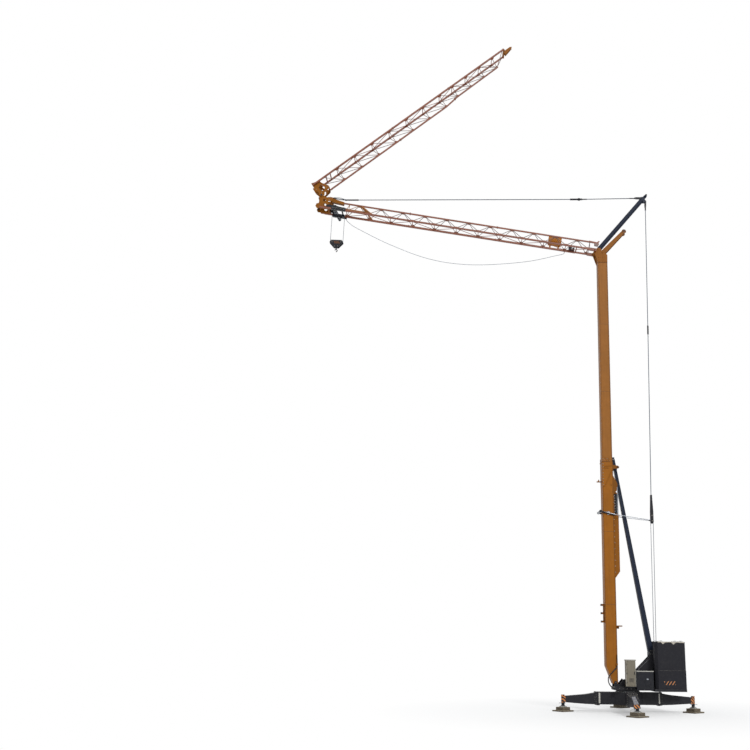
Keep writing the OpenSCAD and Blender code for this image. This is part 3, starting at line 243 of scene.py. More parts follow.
def make_paint_marks():
    """Masks of what weather and work leave on painted steel."""
    tree, given, out = shader_group(
        "Paint marks",
        [("Edge Radius", 0.006), ("Edge Amount", 0.5), ("Streaks", 0.3), ("Dust", 0.3), ("Chips", 0.2)],
        ["Cloud", "Streak", "Dust", "Edge", "Height"])
    link = tree.links.new
    place = object_place(tree)
    surface = add(tree, "NewGeometry")
    up = add(tree, "SeparateXYZ", {0: surface.outputs["Normal"]}).outputs["Z"]

    wide = noise(tree, place, 0.7, 2.0)
    fine = noise(tree, place, 5.5, 4.0, roughness=0.6)
    cloud = math_node(tree, "ADD", math_node(tree, "MULTIPLY", wide, 0.6),
                      math_node(tree, "MULTIPLY", fine, 0.4))
    link(ramp(tree, cloud, 0.3, 0.7), out["Cloud"])

    runs = noise(tree, place, 1.0, 4.0, stretch=(16, 16, 0.55), roughness=0.62)
    upright = ramp(tree, math_node(tree, "ABSOLUTE", up), 0.3, 0.75, 1, 0)
    streak = math_node(tree, "MULTIPLY", ramp(tree, runs, 0.52, 0.78), upright)
    link(math_node(tree, "MULTIPLY", streak, given["Streaks"], clamp=True), out["Streak"])

    settled = math_node(tree, "MULTIPLY", ramp(tree, up, 0.45, 0.95),
                        ramp(tree, noise(tree, place, 3.2, 4.0), 0.25, 0.7, 0.45, 1))
    film = ramp(tree, noise(tree, place, 9.0, 5.0, roughness=0.7), 0.5, 0.85, 0, 0.35)
    dust = math_node(tree, "MAXIMUM", settled, film)
    link(math_node(tree, "MULTIPLY", dust, given["Dust"], clamp=True), out["Dust"])

    rounded = add(tree, "Bevel", {"Radius": given["Edge Radius"]}, samples=4)
    same = add(tree, "VectorMath", {0: rounded.outputs[0], 1: surface.outputs["Normal"]},
               operation="DOT_PRODUCT").outputs["Value"]
    corner = ramp(tree, same, 0.97, 0.80)
    broken = ramp(tree, noise(tree, place, 26.0, 3.0, roughness=0.7), 0.42, 0.6)
    edge = math_node(tree, "MULTIPLY", math_node(tree, "MULTIPLY", corner, broken), given["Edge Amount"])
    chip_noise = noise(tree, place, 34.0, 3.0, roughness=0.75)
    chip = math_node(tree, "MULTIPLY", ramp(tree, chip_noise, 0.70, 0.73), given["Chips"])
    link(math_node(tree, "MAXIMUM", edge, chip, clamp=True), out["Edge"])

    peel = noise(tree, place, 240.0, 1.0)
    dents = noise(tree, place, 2.4, 1.0)
    link(math_node(tree, "ADD", math_node(tree, "MULTIPLY", peel, 0.12),
                   math_node(tree, "MULTIPLY", dents, 2.0)), out["Height"])
    return tree


def make_rope_lay():
    """Twisted strands of a rope, from the distance along it and the way round it."""
    tree, given, out = shader_group(
        "Rope lay", [("Along", 0.0), ("Round", 0.0), ("Pitch", 0.12), ("Strands", 6.0)],
        ["Height", "Shade"])
    turn = math_node(tree, "MULTIPLY", given["Round"], given["Strands"])
    twist = math_node(tree, "MULTIPLY", math_node(tree, "DIVIDE", given["Along"], given["Pitch"]),
                      given["Strands"])
    phase = math_node(tree, "FRACT", math_node(tree, "ADD", turn, twist))
    bump = math_node(tree, "SINE", math_node(tree, "MULTIPLY", phase, math.pi))
    tree.links.new(bump, out["Height"])
    tree.links.new(ramp(tree, bump, 0.15, 0.75, 0.35, 1.0), out["Shade"])
    return tree


class Finish:
    """One material: its node tree, its shader and short ways to add to them."""

    def __init__(self, name, roughness, metallic=0.0, coat=0.0, specular=0.5):
        self.material = bpy.data.materials.new(name)
        self.material.use_nodes = True
        self.tree = self.material.node_tree
        self.shader = self.tree.nodes["Principled BSDF"]
        self.shader.inputs["Roughness"].default_value = roughness
        self.shader.inputs["Metallic"].default_value = metallic
        self.shader.inputs["Coat Weight"].default_value = coat
        self.shader.inputs["Coat Roughness"].default_value = 0.2
        self.shader.inputs["Specular IOR Level"].default_value = specular

    def group(self, tree, **values):
        node = self.tree.nodes.new("ShaderNodeGroup")
        node.node_tree = tree
        for name, value in values.items():
            socket = node.inputs[name.replace("_", " ")]
            if isinstance(value, bpy.types.NodeSocket):
                self.tree.links.new(value, socket)
            else:
                socket.default_value = value
        return node.outputs

    def base(self, socket):
        self.tree.links.new(socket, self.shader.inputs["Base Color"])

    def rough(self, socket):
        self.tree.links.new(socket, self.shader.inputs["Roughness"])

    def bump(self, height, distance, strength=1.0):
        node = add(self.tree, "Bump", {"Height": height, "Distance": distance, "Strength": strength})
        self.tree.links.new(node.outputs[0], self.shader.inputs["Normal"])


def shade(tint, factor):
    return tuple(min(1.0, value * factor) for value in tint)


def paint(name, tint, roughness, marks, edge=0.5, streaks=0.3, dust=0.3, chips=0.2, coat=0.0,
          bare=None, specular=0.5, cover=None):
    """Weathered paint. cover(finish, colour socket) may add a second colour under the dirt."""
    finish = Finish(name, roughness, coat=coat, specular=specular)
    tree = finish.tree
    mark = finish.group(marks, Edge_Amount=edge, Streaks=streaks, Dust=dust, Chips=chips)
    skin = mix_colour(tree, mark["Cloud"], shade(tint, 0.86), shade(tint, 1.12))
    if cover:
        skin = cover(finish, skin)
    skin = mix_colour(tree, mark["Streak"], skin, shade(tint, 0.45))
    skin = mix_colour(tree, mark["Edge"], skin, bare or linear(96, 78, 66))
    skin = mix_colour(tree, mark["Dust"], skin, tuple(colours().dust))
    finish.base(skin)
    dull = math_node(tree, "MAXIMUM", mark["Dust"], mark["Streak"])
    finish.rough(ramp(tree, math_node(tree, "ADD", math_node(tree, "MULTIPLY", mark["Cloud"], 0.3), dull),
                      0, 1, roughness - 0.05, min(1.0, roughness + 0.35)))
    finish.bump(mark["Height"], 0.0006)
    return finish.material


def lattice_cover(matrix, low, high, heavy_from, heavy_to, thin):
    """Thin tubes between the chords have their own tint; heavy tubes near one end keep the chords'."""
    def cover(finish, skin):
        tree = finish.tree
        turn = matrix.to_euler().y
        local = add(tree, "VectorRotate", {"Vector": object_place(tree), "Center": matrix.translation,
                                           "Angle": -turn}, rotation_type="Y_AXIS").outputs[0]
        parts = add(tree, "SeparateXYZ", {0: local}).outputs
        up = math_node(tree, "SUBTRACT", parts["Z"], matrix.translation.z)
        along = math_node(tree, "SUBTRACT", matrix.translation.x, parts["X"])
        between = math_node(tree, "MULTIPLY", math_node(tree, "GREATER_THAN", up, low),
                            math_node(tree, "LESS_THAN", up, high))
        heavy = math_node(tree, "MULTIPLY", math_node(tree, "GREATER_THAN", along, heavy_from),
                          math_node(tree, "LESS_THAN", along, heavy_to))
        mask = math_node(tree, "MULTIPLY", between, math_node(tree, "SUBTRACT", 1.0, heavy))
        stout = math_node(tree, "MULTIPLY", between, heavy)
        return mix_colour(tree, stout, mix_colour(tree, mask, skin, thin), tuple(colours().mast))
    return cover


def arm_cover(finish, skin):
    """Hazard stripes round the ends of the outriggers at the sides."""
    tree = finish.tree
    parts = add(tree, "SeparateXYZ", {0: object_place(tree)}).outputs
    flat = add(tree, "CombineXYZ", {"X": parts["X"], "Y": parts["Y"]}).outputs[0]
    reach = add(tree, "VectorMath", {0: flat}, operation="LENGTH").outputs["Value"]
    aside = math_node(tree, "GREATER_THAN", parts["Y"], -2.0)
    end = math_node(tree, "MULTIPLY", math_node(tree, "GREATER_THAN", reach, 2.96), aside)
    return mix_colour(tree, end, skin, hazard_cover(finish, skin))


def hazard_cover(finish, skin):
    """Slanted stripes of the hazard colour over the paint."""
    tree = finish.tree
    slant = add(tree, "VectorMath", {0: object_place(tree), 1: (1, 1, 1)},
                operation="DOT_PRODUCT").outputs["Value"]
    turn = math_node(tree, "FRACT", math_node(tree, "DIVIDE", slant, sizes().stripe_width * 2))
    return mix_colour(tree, math_node(tree, "GREATER_THAN", turn, 0.5), skin, tuple(colours().stripe))


def mast_painted_shade_cover(finish, skin):
    """Painted shade: the mast's rear corners and the strip along them are darkened, and its front corners less so."""
    tree = finish.tree
    x = add(tree, "SeparateXYZ", {0: object_place(tree)}).outputs["X"]
    rear = ramp(tree, x, MAST_REAR - 0.075, MAST_REAR - 0.02)
    front = ramp(tree, x, MAST_FRONT + 0.02, MAST_FRONT + 0.06, 0.5, 0)
    # painted shade at the rear and front corners
    dim = math_node(tree, "MULTIPLY", math_node(tree, "MAXIMUM", rear, front), 0.6)
    return mix_colour(tree, dim, skin, shade(tuple(colours().mast), 0.38))


def deck_cover(finish, skin):
    """The deck's top wears to a lighter grey where people step."""
    tree = finish.tree
    place = object_place(tree)
    up = add(tree, "SeparateXYZ", {0: add(tree, "NewGeometry").outputs["Normal"]}).outputs["Z"]
    wear_and_painted_top_light = math_node(tree, "MULTIPLY", ramp(tree, up, 0.8, 0.95),
                     ramp(tree, noise(tree, place, 2.0, 5.0), 0.4, 0.65))
    return mix_colour(tree, math_node(tree, "MULTIPLY", wear_and_painted_top_light, 0.5), skin, linear(110, 110, 112))


def metal(name, tint, roughness, metallic=0.9, grain=40.0, grime=0.35):
    finish = Finish(name, roughness, metallic=metallic)
    tree = finish.tree
    place = object_place(tree)
    patch = noise(tree, place, 7.0, 4.0, roughness=0.65)
    fine = noise(tree, place, grain, 2.0)
    skin = mix_colour(tree, ramp(tree, fine, 0.3, 0.7), shade(tint, 0.8), shade(tint, 1.15))
    dirt = ramp(tree, patch, 0.45, 0.75, 0, grime)
    finish.base(mix_colour(tree, dirt, skin, linear(52, 44, 38)))
    finish.rough(ramp(tree, math_node(tree, "ADD", dirt, math_node(tree, "MULTIPLY", fine, 0.3)), 0, 0.8,
                      roughness - 0.08, roughness + 0.3))
    finish.bump(fine, 0.0004)
    return finish.material


def rope_finish(name, tint, lay, axis=None, strand_radius=0.012):
    """Wire rope. Without an axis the lay follows the piece's own UV map."""
    finish = Finish(name, 0.42, metallic=0.65)
    tree = finish.tree
    if axis is None:
        parts = add(tree, "SeparateXYZ", {0: add(tree, "TexCoord").outputs["UV"]}).outputs
        along, round_it = parts["Y"], parts["X"]
    else:
        place = object_place(tree)
        along = add(tree, "VectorMath", {0: place, 1: axis}, operation="DOT_PRODUCT").outputs["Value"]
        side = add(tree, "SeparateXYZ", {0: place}).outputs["Y"]
        round_it = math_node(tree, "MULTIPLY", side, 0.25 / strand_radius)
    marks = finish.group(lay, Along=along, Round=round_it, Pitch=strand_radius * 13)
    dirt = ramp(tree, noise(tree, object_place(tree), 6.0, 3.0), 0.4, 0.7, 0, 0.3)
    skin = mix_colour(tree, marks["Shade"], shade(tint, 0.5), shade(tint, 1.05))
    finish.base(mix_colour(tree, dirt, skin, linear(70, 66, 62)))
    finish.rough(ramp(tree, marks["Shade"], 0, 1, 0.7, 0.38))
    finish.bump(marks["Height"], strand_radius * 0.25)
    return finish.material


def make_timber(tint):
    """Rough sawn wood, with its grain along the piece's own U direction."""
    finish = Finish("weathered timber", 0.85)
    tree = finish.tree
    own = add(tree, "TexCoord").outputs["UV"]
    rings = noise(tree, own, 1.0, 5.0, stretch=(1.5, 34, 1), roughness=0.6)
    fibre = noise(tree, own, 1.0, 3.0, stretch=(9, 240, 1))
    patch = noise(tree, own, 2.2, 3.0)
    skin = mix_colour(tree, ramp(tree, rings, 0.35, 0.65), shade(tint, 0.62), shade(tint, 1.18))
    skin = mix_colour(tree, ramp(tree, fibre, 0.45, 0.75, 0, 0.5), skin, shade(tint, 0.4))
    skin = mix_colour(tree, ramp(tree, patch, 0.48, 0.7, 0, 0.6), skin, linear(86, 84, 80))
    facing = add(tree, "SeparateXYZ", {0: add(tree, "TexCoord").outputs["Normal"]}).outputs["Z"]
    # painted light: faces that point up are mixed towards a light tone
    wear_and_painted_top_light = mix_colour(tree, ramp(tree, facing, 0.2, 0.8, 0, 0.45), skin, linear(176, 168, 148))
    # painted shade: faces that point sideways or down are mixed towards dark brown
    finish.base(mix_colour(tree, ramp(tree, facing, 0.2, 0.8, 0.55, 0), wear_and_painted_top_light, linear(52, 42, 34)))
    finish.bump(math_node(tree, "ADD", rings, fibre), 0.002)
    finish.rough(ramp(tree, fibre, 0.3, 0.7, 0.72, 0.95))
    return finish.material


def make_rubber(tint):
    finish = Finish("hose rubber", 0.55)
    tree = finish.tree
    place = object_place(tree)
    scuff = noise(tree, place, 30.0, 4.0, roughness=0.7)
    finish.base(mix_colour(tree, ramp(tree, scuff, 0.5, 0.75, 0, 0.5), tint, linear(46, 42, 40)))
    wrap = add(tree, "SeparateXYZ", {0: add(tree, "TexCoord").outputs["UV"]}).outputs["Y"]
    ribs = math_node(tree, "SINE", math_node(tree, "MULTIPLY", wrap, 420.0))
    finish.rough(ramp(tree, scuff, 0.35, 0.7, 0.45, 0.75))
    finish.bump(ribs, 0.0005)
    return finish.material


def make_finishes():
    """Every material of the crane by its short name."""
    tint = colours()
    marks = make_paint_marks()
    lay = make_rope_lay()
    mast, jib, slate, dark = (tuple(c) for c in (tint.mast, tint.jib, tint.slate, tint.dark))
    rope = tuple(tint.rope)
    thin = tuple(tint.bracing)
    inner = lattice_cover(JIB, 0.045, 0.54, 12.15, 13.66, thin)
    outer = lattice_cover(OUTER, 0.045, 0.5, -1.0, 0.7, thin)
    pendant_way = Vector((0.9985, 0, 0.0545))
    return {
        "mast": paint("mast paint", mast, 0.42, marks, edge=0.45, streaks=0.35, dust=0.12, chips=0.25,
                      specular=0.12, cover=mast_painted_shade_cover),
        "upper": paint("upper mast paint", linear(140, 90, 38), 0.42, marks, edge=0.45, streaks=0.35, dust=0.12,
                       chips=0.25, specular=0.12, cover=mast_painted_shade_cover),
        "head": paint("head paint", shade(mast, 0.86), 0.42, marks, edge=0.45, streaks=0.3, dust=0.1,
                      specular=0.12),
        # painted light: the mast paint made 1.4 times lighter for the jib box and its doors
        "boxed": paint("jib box paint with painted light", shade(mast, 1.4), 0.42, marks, edge=0.45, streaks=0.3, dust=0.1,
                       specular=0.12),
        "seam": paint("weld seam paint", shade(mast, 0.42), 0.5, marks, edge=0.2, chips=0.1),
        "jib": paint("jib paint", jib, 0.45, marks, edge=0.4, streaks=0.2, dust=0.2),
        "inner": paint("inner jib paint", jib, 0.45, marks, edge=0.3, streaks=0.2, dust=0.2, cover=inner),
        "outer": paint("outer jib paint", jib, 0.45, marks, edge=0.3, streaks=0.2, dust=0.2, cover=outer),
        "thin": paint("bracing paint", thin, 0.5, marks, edge=0.2, streaks=0.2, dust=0.2),
        "slate": paint("slate paint", slate, 0.45, marks, edge=0.6, streaks=0.2, dust=0.15, chips=0.3,
                       bare=linear(92, 90, 88), specular=0.2),
        "arm": paint("outrigger paint", slate, 0.45, marks, edge=0.6, streaks=0.2, dust=0.15, chips=0.3,
                     bare=linear(92, 90, 88), specular=0.2, cover=arm_cover),
        "deck": paint("deck paint", slate, 0.5, marks, edge=0.6, streaks=0.2, dust=0.3, chips=0.3,
                      bare=linear(92, 90, 88), specular=0.2, cover=deck_cover),
        "strut": paint("strut paint", linear(30, 37, 52), 0.42, marks, edge=0.3, streaks=0.2, dust=0.1,
                       bare=linear(84, 86, 92), specular=0.12),
        "dark": paint("dark paint", dark, 0.4, marks, edge=0.45, streaks=0.2, dust=0.15,
                      bare=linear(84, 86, 92), specular=0.22),
        "ballast": paint("ballast paint", tuple(tint.ballast), 0.6, marks, edge=0.5, streaks=0.3, dust=0.13,
                         chips=0.5, bare=linear(110, 108, 104), specular=0.15),
        "hazard": paint("hazard paint", slate, 0.5, marks, edge=0.4, streaks=0.3, dust=0.25, chips=0.5,
                        specular=0.3, cover=hazard_cover),
        "cabinet": paint("cabinet coat", tuple(tint.cabinet), 0.5, marks, edge=0.3, streaks=0.35, dust=0.25,
                         chips=0.1),
        "panel": paint("grey panel", linear(112, 112, 118), 0.5, marks, edge=0.3, streaks=0.4, dust=0.3,
                       chips=0.4),
        "trim": paint("light trim", tuple(tint.trim), 0.5, marks, edge=0.3, streaks=0.35, dust=0.3, chips=0.2),
        "stripe": paint("hazard stripe", shade(tuple(tint.stripe), 0.7), 0.5, marks, edge=0.3, streaks=0.3, dust=0.3,
                        chips=0.5),
        "stripe_dull": paint("dull stripe", shade(tuple(tint.stripe), 0.34), 0.6, marks, edge=0.3, streaks=0.3,
                             dust=0.3, chips=0.5, specular=0.2),
        "concrete": paint("pale concrete", linear(176, 170, 158), 0.85, marks, edge=0.4, streaks=0.4, dust=0.4,
                          chips=0.4, specular=0.2),
        "steel": metal("bare steel", tuple(tint.steel), 0.38),
        "bolt": metal("zinc bolt", linear(150, 148, 140), 0.4, grime=0.5),
        "hook": metal("forged steel", linear(62, 62, 66), 0.5, metallic=0.7),
        "galvanised": metal("galvanised steel", linear(150, 154, 160), 0.45, metallic=0.75, grain=16.0, grime=0.2),
        "rope": rope_finish("slack rope", rope, lay, strand_radius=0.012),
        "rope_plain": metal("wound rope", shade(rope, 0.8), 0.5, metallic=0.6, grain=120.0, grime=0.4),
        "stay": rope_finish("back stay rope", shade(rope, 0.7), lay, axis=(0, 0, 1), strand_radius=0.017),
        "pendant": rope_finish("pendant rope", shade(rope, 0.55), lay, axis=pendant_way, strand_radius=0.019),
        "timber": make_timber(tuple(tint.timber)),
        "rubber": make_rubber(tuple(tint.rubber)),
    }


FINISH = {}

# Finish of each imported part
NODE_FINISH = {
    "arm": ["outrigger_arms"],
    "slate": ["chassis_cross", "mast_foot_bracket", "rear_post"],
    "deck": ["platform"],
    "ballast": ["ballast_lower", "ballast_upper"],
    "cabinet": ["electric_cabinet"],
    "dark": ["machinery_box", "hoist_winch", "erection_winch", "trolley", "trolley_winch", "hook_block",
             "rope_guide", "rope_block", "slew_ring_lower", "slew_ring_upper"],
    "steel": ["jack_left", "jack_front", "jack_right", "jack_rear"],
    "strut": ["rear_strut", "head_strut"],
    "galvanised": ["guide_bar"],
    "hook": ["hook"],
    "stay": ["back_stay", "hoist_falls"],
    "pendant": ["pendant"],
    "mast": ["mast_lower", "mast_fittings"],
    "upper": ["mast_upper"],
    "head": ["mast_rear_rail", "head_plates", "head_arm", "fold_fork", "fold_cheeks", "outer_tip"],
    "boxed": ["jib_box"],
    "inner": ["jib_near_side", "jib_far_side", "jib_bottom"],
    "outer": ["outer_near_side", "outer_far_side", "outer_bottom"],
    "timber": ["pad_left", "pad_front", "pad_right", "pad_rear"],
    "rubber": ["mast_hose"],
    "rope": ["slack_rope"],
}


# Mesh building

def box(bm, low, high, matrix=NONE):
    low, high = Vector(low), Vector(high)
    place = Matrix.Translation((low + high) / 2) @ Matrix.Diagonal((*(high - low), 1))
    return bmesh.ops.create_cube(bm, size=1, matrix=matrix @ place)["verts"]


def rod(bm, a, b, radius, sides=12, end_radius=None, matrix=NONE):
    a, b = matrix @ Vector(a), matrix @ Vector(b)
    turn = (b - a).to_track_quat("Z", "Y").to_matrix().to_4x4()
    return bmesh.ops.create_cone(
        bm, cap_ends=True, segments=sides, radius1=radius,
        radius2=radius if end_radius is None else end_radius, depth=(b - a).length,
        matrix=Matrix.Translation((a + b) / 2) @ turn)["verts"]


def across(bm, x, z, radius, y1, y2, sides=20, matrix=NONE):
    """A round piece across the crane."""
    return rod(bm, (x, y1, z), (x, y2, z), radius, sides, matrix=matrix)


def ring(bm, centre, axis, radius, thickness, sides=28, section=8, matrix=NONE):
    """A closed ring of round section, spun about its axis."""
    centre = matrix @ Vector(centre)
    axis = (matrix.to_3x3() @ Vector(axis)).normalized()
    out = axis.orthogonal().normalized()
    side = axis.cross(out)
    turn = Matrix((out, axis, side)).transposed().to_4x4()
    circle = bmesh.ops.create_circle(
        bm, segments=section, radius=thickness,
        matrix=Matrix.Translation(centre + out * radius) @ turn)["verts"]
    edges = list({edge for vert in circle for edge in vert.link_edges})
    spun = bmesh.ops.spin(bm, geom=circle + edges, cent=centre, axis=axis, angle=2 * math.pi,
                          steps=sides, use_merge=True)
    return spun


def plate(bm, outline, y1, y2, matrix=NONE):
    """A flat plate with its outline in the XZ plane."""
    face = bm.faces.new([bm.verts.new(matrix @ Vector((x, y1, z))) for x, z in outline])
    raised = bmesh.ops.extrude_face_region(bm, geom=[face])["geom"]
    verts = [item for item in raised if isinstance(item, bmesh.types.BMVert)]
    bmesh.ops.translate(bm, verts=verts, vec=matrix.to_3x3() @ Vector((0, y2 - y1, 0)))


def bolt(bm, at, axis, radius=None, matrix=NONE, washer=True):
    """A hexagon head on its washer, standing on a surface."""
    radius = radius or sizes().bolt_radius
    at, axis = Vector(at), Vector(axis).normalized()
    base = at
    if washer:
        base = at + axis * radius * 0.2
        rod(bm, at, base, radius * 1.35, 12, matrix=matrix)
    rod(bm, base, base + axis * radius * 0.85, radius, 6, matrix=matrix)


def row(a, b, count):
    """Places spaced evenly from one to another."""
    a, b = Vector(a), Vector(b)
    return [a.lerp(b, i / max(count - 1, 1)) for i in range(count)]


def piece(name, bm, finish, body, bevel=0.0, angle=32):
    """Makes an object of the mesh, with smooth round parts and crisp edges, on its body."""
    sharp = math.radians(angle)
    if bevel:
        edges = [edge for edge in bm.edges if edge.calc_face_angle(0) > sharp]
        bmesh.ops.bevel(bm, geom=edges, offset=bevel, affect="EDGES", segments=1, profile=0.5,
                        material=-1, clamp_overlap=True)
    bmesh.ops.recalc_face_normals(bm, faces=bm.faces)
    for face in bm.faces:
        face.smooth = True
    for edge in bm.edges:
        edge.smooth = edge.calc_face_angle(0) < sharp
    mesh = bpy.data.meshes.new(name)
    bm.to_mesh(mesh)
    bm.free()
    mesh.materials.append(FINISH[finish])
    made = bpy.data.objects.new(name, mesh)
    bpy.context.scene.collection.objects.link(made)
    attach(made, body)
    return made


def arm_frame(k):
    return Matrix.Rotation(CHASSIS_TURN + math.radians(90) * k, 4, "Z")


class CraneOperator:
    """What the operators of this panel share."""

    bl_options = {"REGISTER", "UNDO"}


# Camera, lamps and floor

class CRANE_OT_stage(CraneOperator, bpy.types.Operator):
    """Set up the camera, the lamps, the sky and the floor"""

    bl_idname = "crane.stage"
    bl_label = "Stage"

    def execute(self, context):
        stage = context.scene.crane_stage
        self.camera(context, stage)
        self.lamp(context, "key lamp", stage.key_strength, 16, (52, 0, 24))
        self.lamp(context, "fill lamp", stage.fill_strength, 40, (40, 0, 150))
        self.sky(context, stage.sky_strength)
        self.floor(context)
        context.scene.view_settings.view_transform = "Standard"
        return {"FINISHED"}

    def camera(self, context, stage):
        data = bpy.data.cameras.new("camera")
        data.lens = stage.camera_lens
        data.sensor_width = 36
        data.shift_x, data.shift_y = stage.camera_shift
        data.clip_end = 500
        camera = bpy.data.objects.new("camera", data)
        level = Euler((math.pi / 2 + stage.camera_pitch, 0, stage.camera_yaw)).to_matrix()
        camera.rotation_euler = (level @ Matrix.Rotation(stage.camera_roll, 3, "Z")).to_euler()
        camera.location = stage.camera_place
        context.scene.collection.objects.link(camera)
        context.scene.camera = camera

    def lamp(self, context, name, strength, softness, angles):
        data = bpy.data.lights.new(name, "SUN")
        data.energy = strength
        data.angle = math.radians(softness)
        lamp = bpy.data.objects.new(name, data)
        lamp.rotation_euler = [math.radians(value) for value in angles]
        context.scene.collection.objects.link(lamp)

    def sky(self, context, strength):
        world = bpy.data.worlds.new("sky")
        world.use_nodes = True
        tree = world.node_tree
        light = tree.nodes["Background"]
        light.inputs["Color"].default_value = (0.96, 0.98, 1.0, 1)
        light.inputs["Strength"].default_value = strength
        white = add(tree, "Background", {"Color": (1, 1, 1), "Strength": 1.0})
        ray = add(tree, "LightPath").outputs
        seen = math_node(tree, "MAXIMUM", ray["Is Camera Ray"],
                         math_node(tree, "MAXIMUM", ray["Is Glossy Ray"], ray["Is Transmission Ray"]))
        mixed = add(tree, "MixShader", {0: seen, 1: light.outputs[0], 2: white.outputs[0]})
        tree.links.new(mixed.outputs[0], tree.nodes["World Output"].inputs["Surface"])
        context.scene.world = world

    def floor(self, context):
        bm = bmesh.new()
        bmesh.ops.create_grid(bm, x_segments=1, y_segments=1, size=400)
        mesh = bpy.data.meshes.new("floor")
        bm.to_mesh(mesh)
        bm.free()
        floor = bpy.data.objects.new("floor", mesh)
        context.scene.collection.objects.link(floor)
        finish = Finish("pale floor", 0.9, specular=0.1)
        tree = finish.tree
        finish.shader.inputs["Base Color"].default_value = (0.80, 0.80, 0.80, 1)
        distance = add(tree, "VectorMath", {0: object_place(tree)}, operation="LENGTH").outputs["Value"]
        ray = add(tree, "LightPath").outputs["Is Camera Ray"]
        far = math_node(tree, "MULTIPLY", ramp(tree, distance, 3.5, 12, 0.35, 1), ray)
        white = add(tree, "Emission", {"Color": (1, 1, 1), "Strength": 1.0})
        mixed = add(tree, "MixShader", {0: far, 1: finish.shader.outputs[0], 2: white.outputs[0]})
        tree.links.new(mixed.outputs[0], tree.nodes["Material Output"].inputs["Surface"])
        mesh.materials.append(finish.material)


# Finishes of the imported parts

class CRANE_OT_paints(CraneOperator, bpy.types.Operator):
    """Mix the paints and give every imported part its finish"""

    bl_idname = "crane.paints"
    bl_label = "Paints"

    def execute(self, context):
        FINISH.update(make_finishes())
        for finish, nodes in NODE_FINISH.items():
            for node in nodes:
                slots = frame["nodes"][node].data.materials
                slots.clear()
                slots.append(FINISH[finish])
        return {"FINISHED"}


def sweep(name, route, radius, finish, body, sides=12):
    """A tube along a route, with V along it in metres and U round it."""
    curve = bpy.data.curves.new(name, "CURVE")
    curve.dimensions = "3D"
    spline = curve.splines.new("POLY")
    spline.points.add(len(route) - 1)
    for point, place in zip(spline.points, route):
        point.co = (*place, 1)
    curve.twist_mode = "MINIMUM"
    curve.bevel_depth = radius
    curve.bevel_resolution = max(0, sides // 4 - 1)
    curve.use_fill_caps = True
    holder = bpy.data.objects.new(name, curve)
    mesh = bpy.data.meshes.new_from_object(holder)
    bpy.data.curves.remove(curve)
    mesh.name = name
    mesh.materials.clear()
    mesh.materials.append(FINISH[finish])
    mesh.shade_smooth()
    made = bpy.data.objects.new(name, mesh)
    bpy.context.scene.collection.objects.link(made)
    map_along(mesh, route)
    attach(made, body)
    return made


def map_along(mesh, route):
    """UV map of a swept tube: U is the way round, V the distance along the route."""
    layer = mesh.uv_layers.active or mesh.uv_layers.new(name="UVMap")
    places = [Vector(place) for place in route]
    walked = [0.0]
    for a, b in zip(places, places[1:]):
        walked.append(walked[-1] + (b - a).length)
    for face in mesh.polygons:
        middle = face.center
        nearest = min(range(len(places)), key=lambda i: (places[i] - middle).length)
        for loop in face.loop_indices:
            co = mesh.vertices[mesh.loops[loop].vertex_index].co
            near = min(range(max(nearest - 2, 0), min(nearest + 3, len(places))),
                       key=lambda i: (places[i] - co).length)
            way = (places[min(near + 1, len(places) - 1)] - places[max(near - 1, 0)]).normalized()
            side = Vector((0, 1, 0))
            up = way.cross(side).normalized()
            offset = co - places[near]
            around = math.atan2(offset.dot(side), offset.dot(up)) / (2 * math.pi)
            layer.data[loop].uv = (around, walked[near] + offset.dot(way))


def smooth_route(route, step):
    """The route rounded by a curve through its points, at an even fine spacing."""
    places = [Vector(place) for place in route]
    fine = []
    for i in range(len(places) - 1):
        before = places[max(i - 1, 0)]
        a, b = places[i], places[i + 1]
        after = places[min(i + 2, len(places) - 1)]
        count = max(2, round((b - a).length / step))
        for k in range(count):
            t = k / count
            fine.append(0.5 * (2 * a + (b - before) * t + (2 * before - 5 * a + 4 * b - after) * t * t
                               + (3 * a - before - 3 * b + after) * t ** 3))
    fine.append(places[-1])
    return [tuple(place) for place in fine]


class CRANE_OT_cords(CraneOperator, bpy.types.Operator):
    """Hang the slack rope under the jib and the hose at the mast's foot"""

    bl_idname = "crane.cords"
    bl_label = "Slack rope and hose"

    def execute(self, context):
        self.hang("slack_rope_lay", SLACK, sizes().rope_radius, "rope", "slack_rope", "wire_rope",
                  "limp", "hanging", 0.05)
        self.hang("hose_run", HOSE, sizes().hose_radius, "rubber", "mast_hose", "hose_rubber",
                  "medium", "loose", 0.02)
        return {"FINISHED"}

    def hang(self, name, points, radius, finish, node, slot, stiffness, lay, step):
        route = smooth_route(points, step)
        made = sweep(name, route, radius, finish, "upperworks")
        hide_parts(node)


# Chassis, jacks and boards

def turned(count, place=NONE):
    """The same place turned evenly about its own Z."""
    return [place @ Matrix.Rotation(2 * math.pi * i / count, 4, "Z") for i in range(count)]


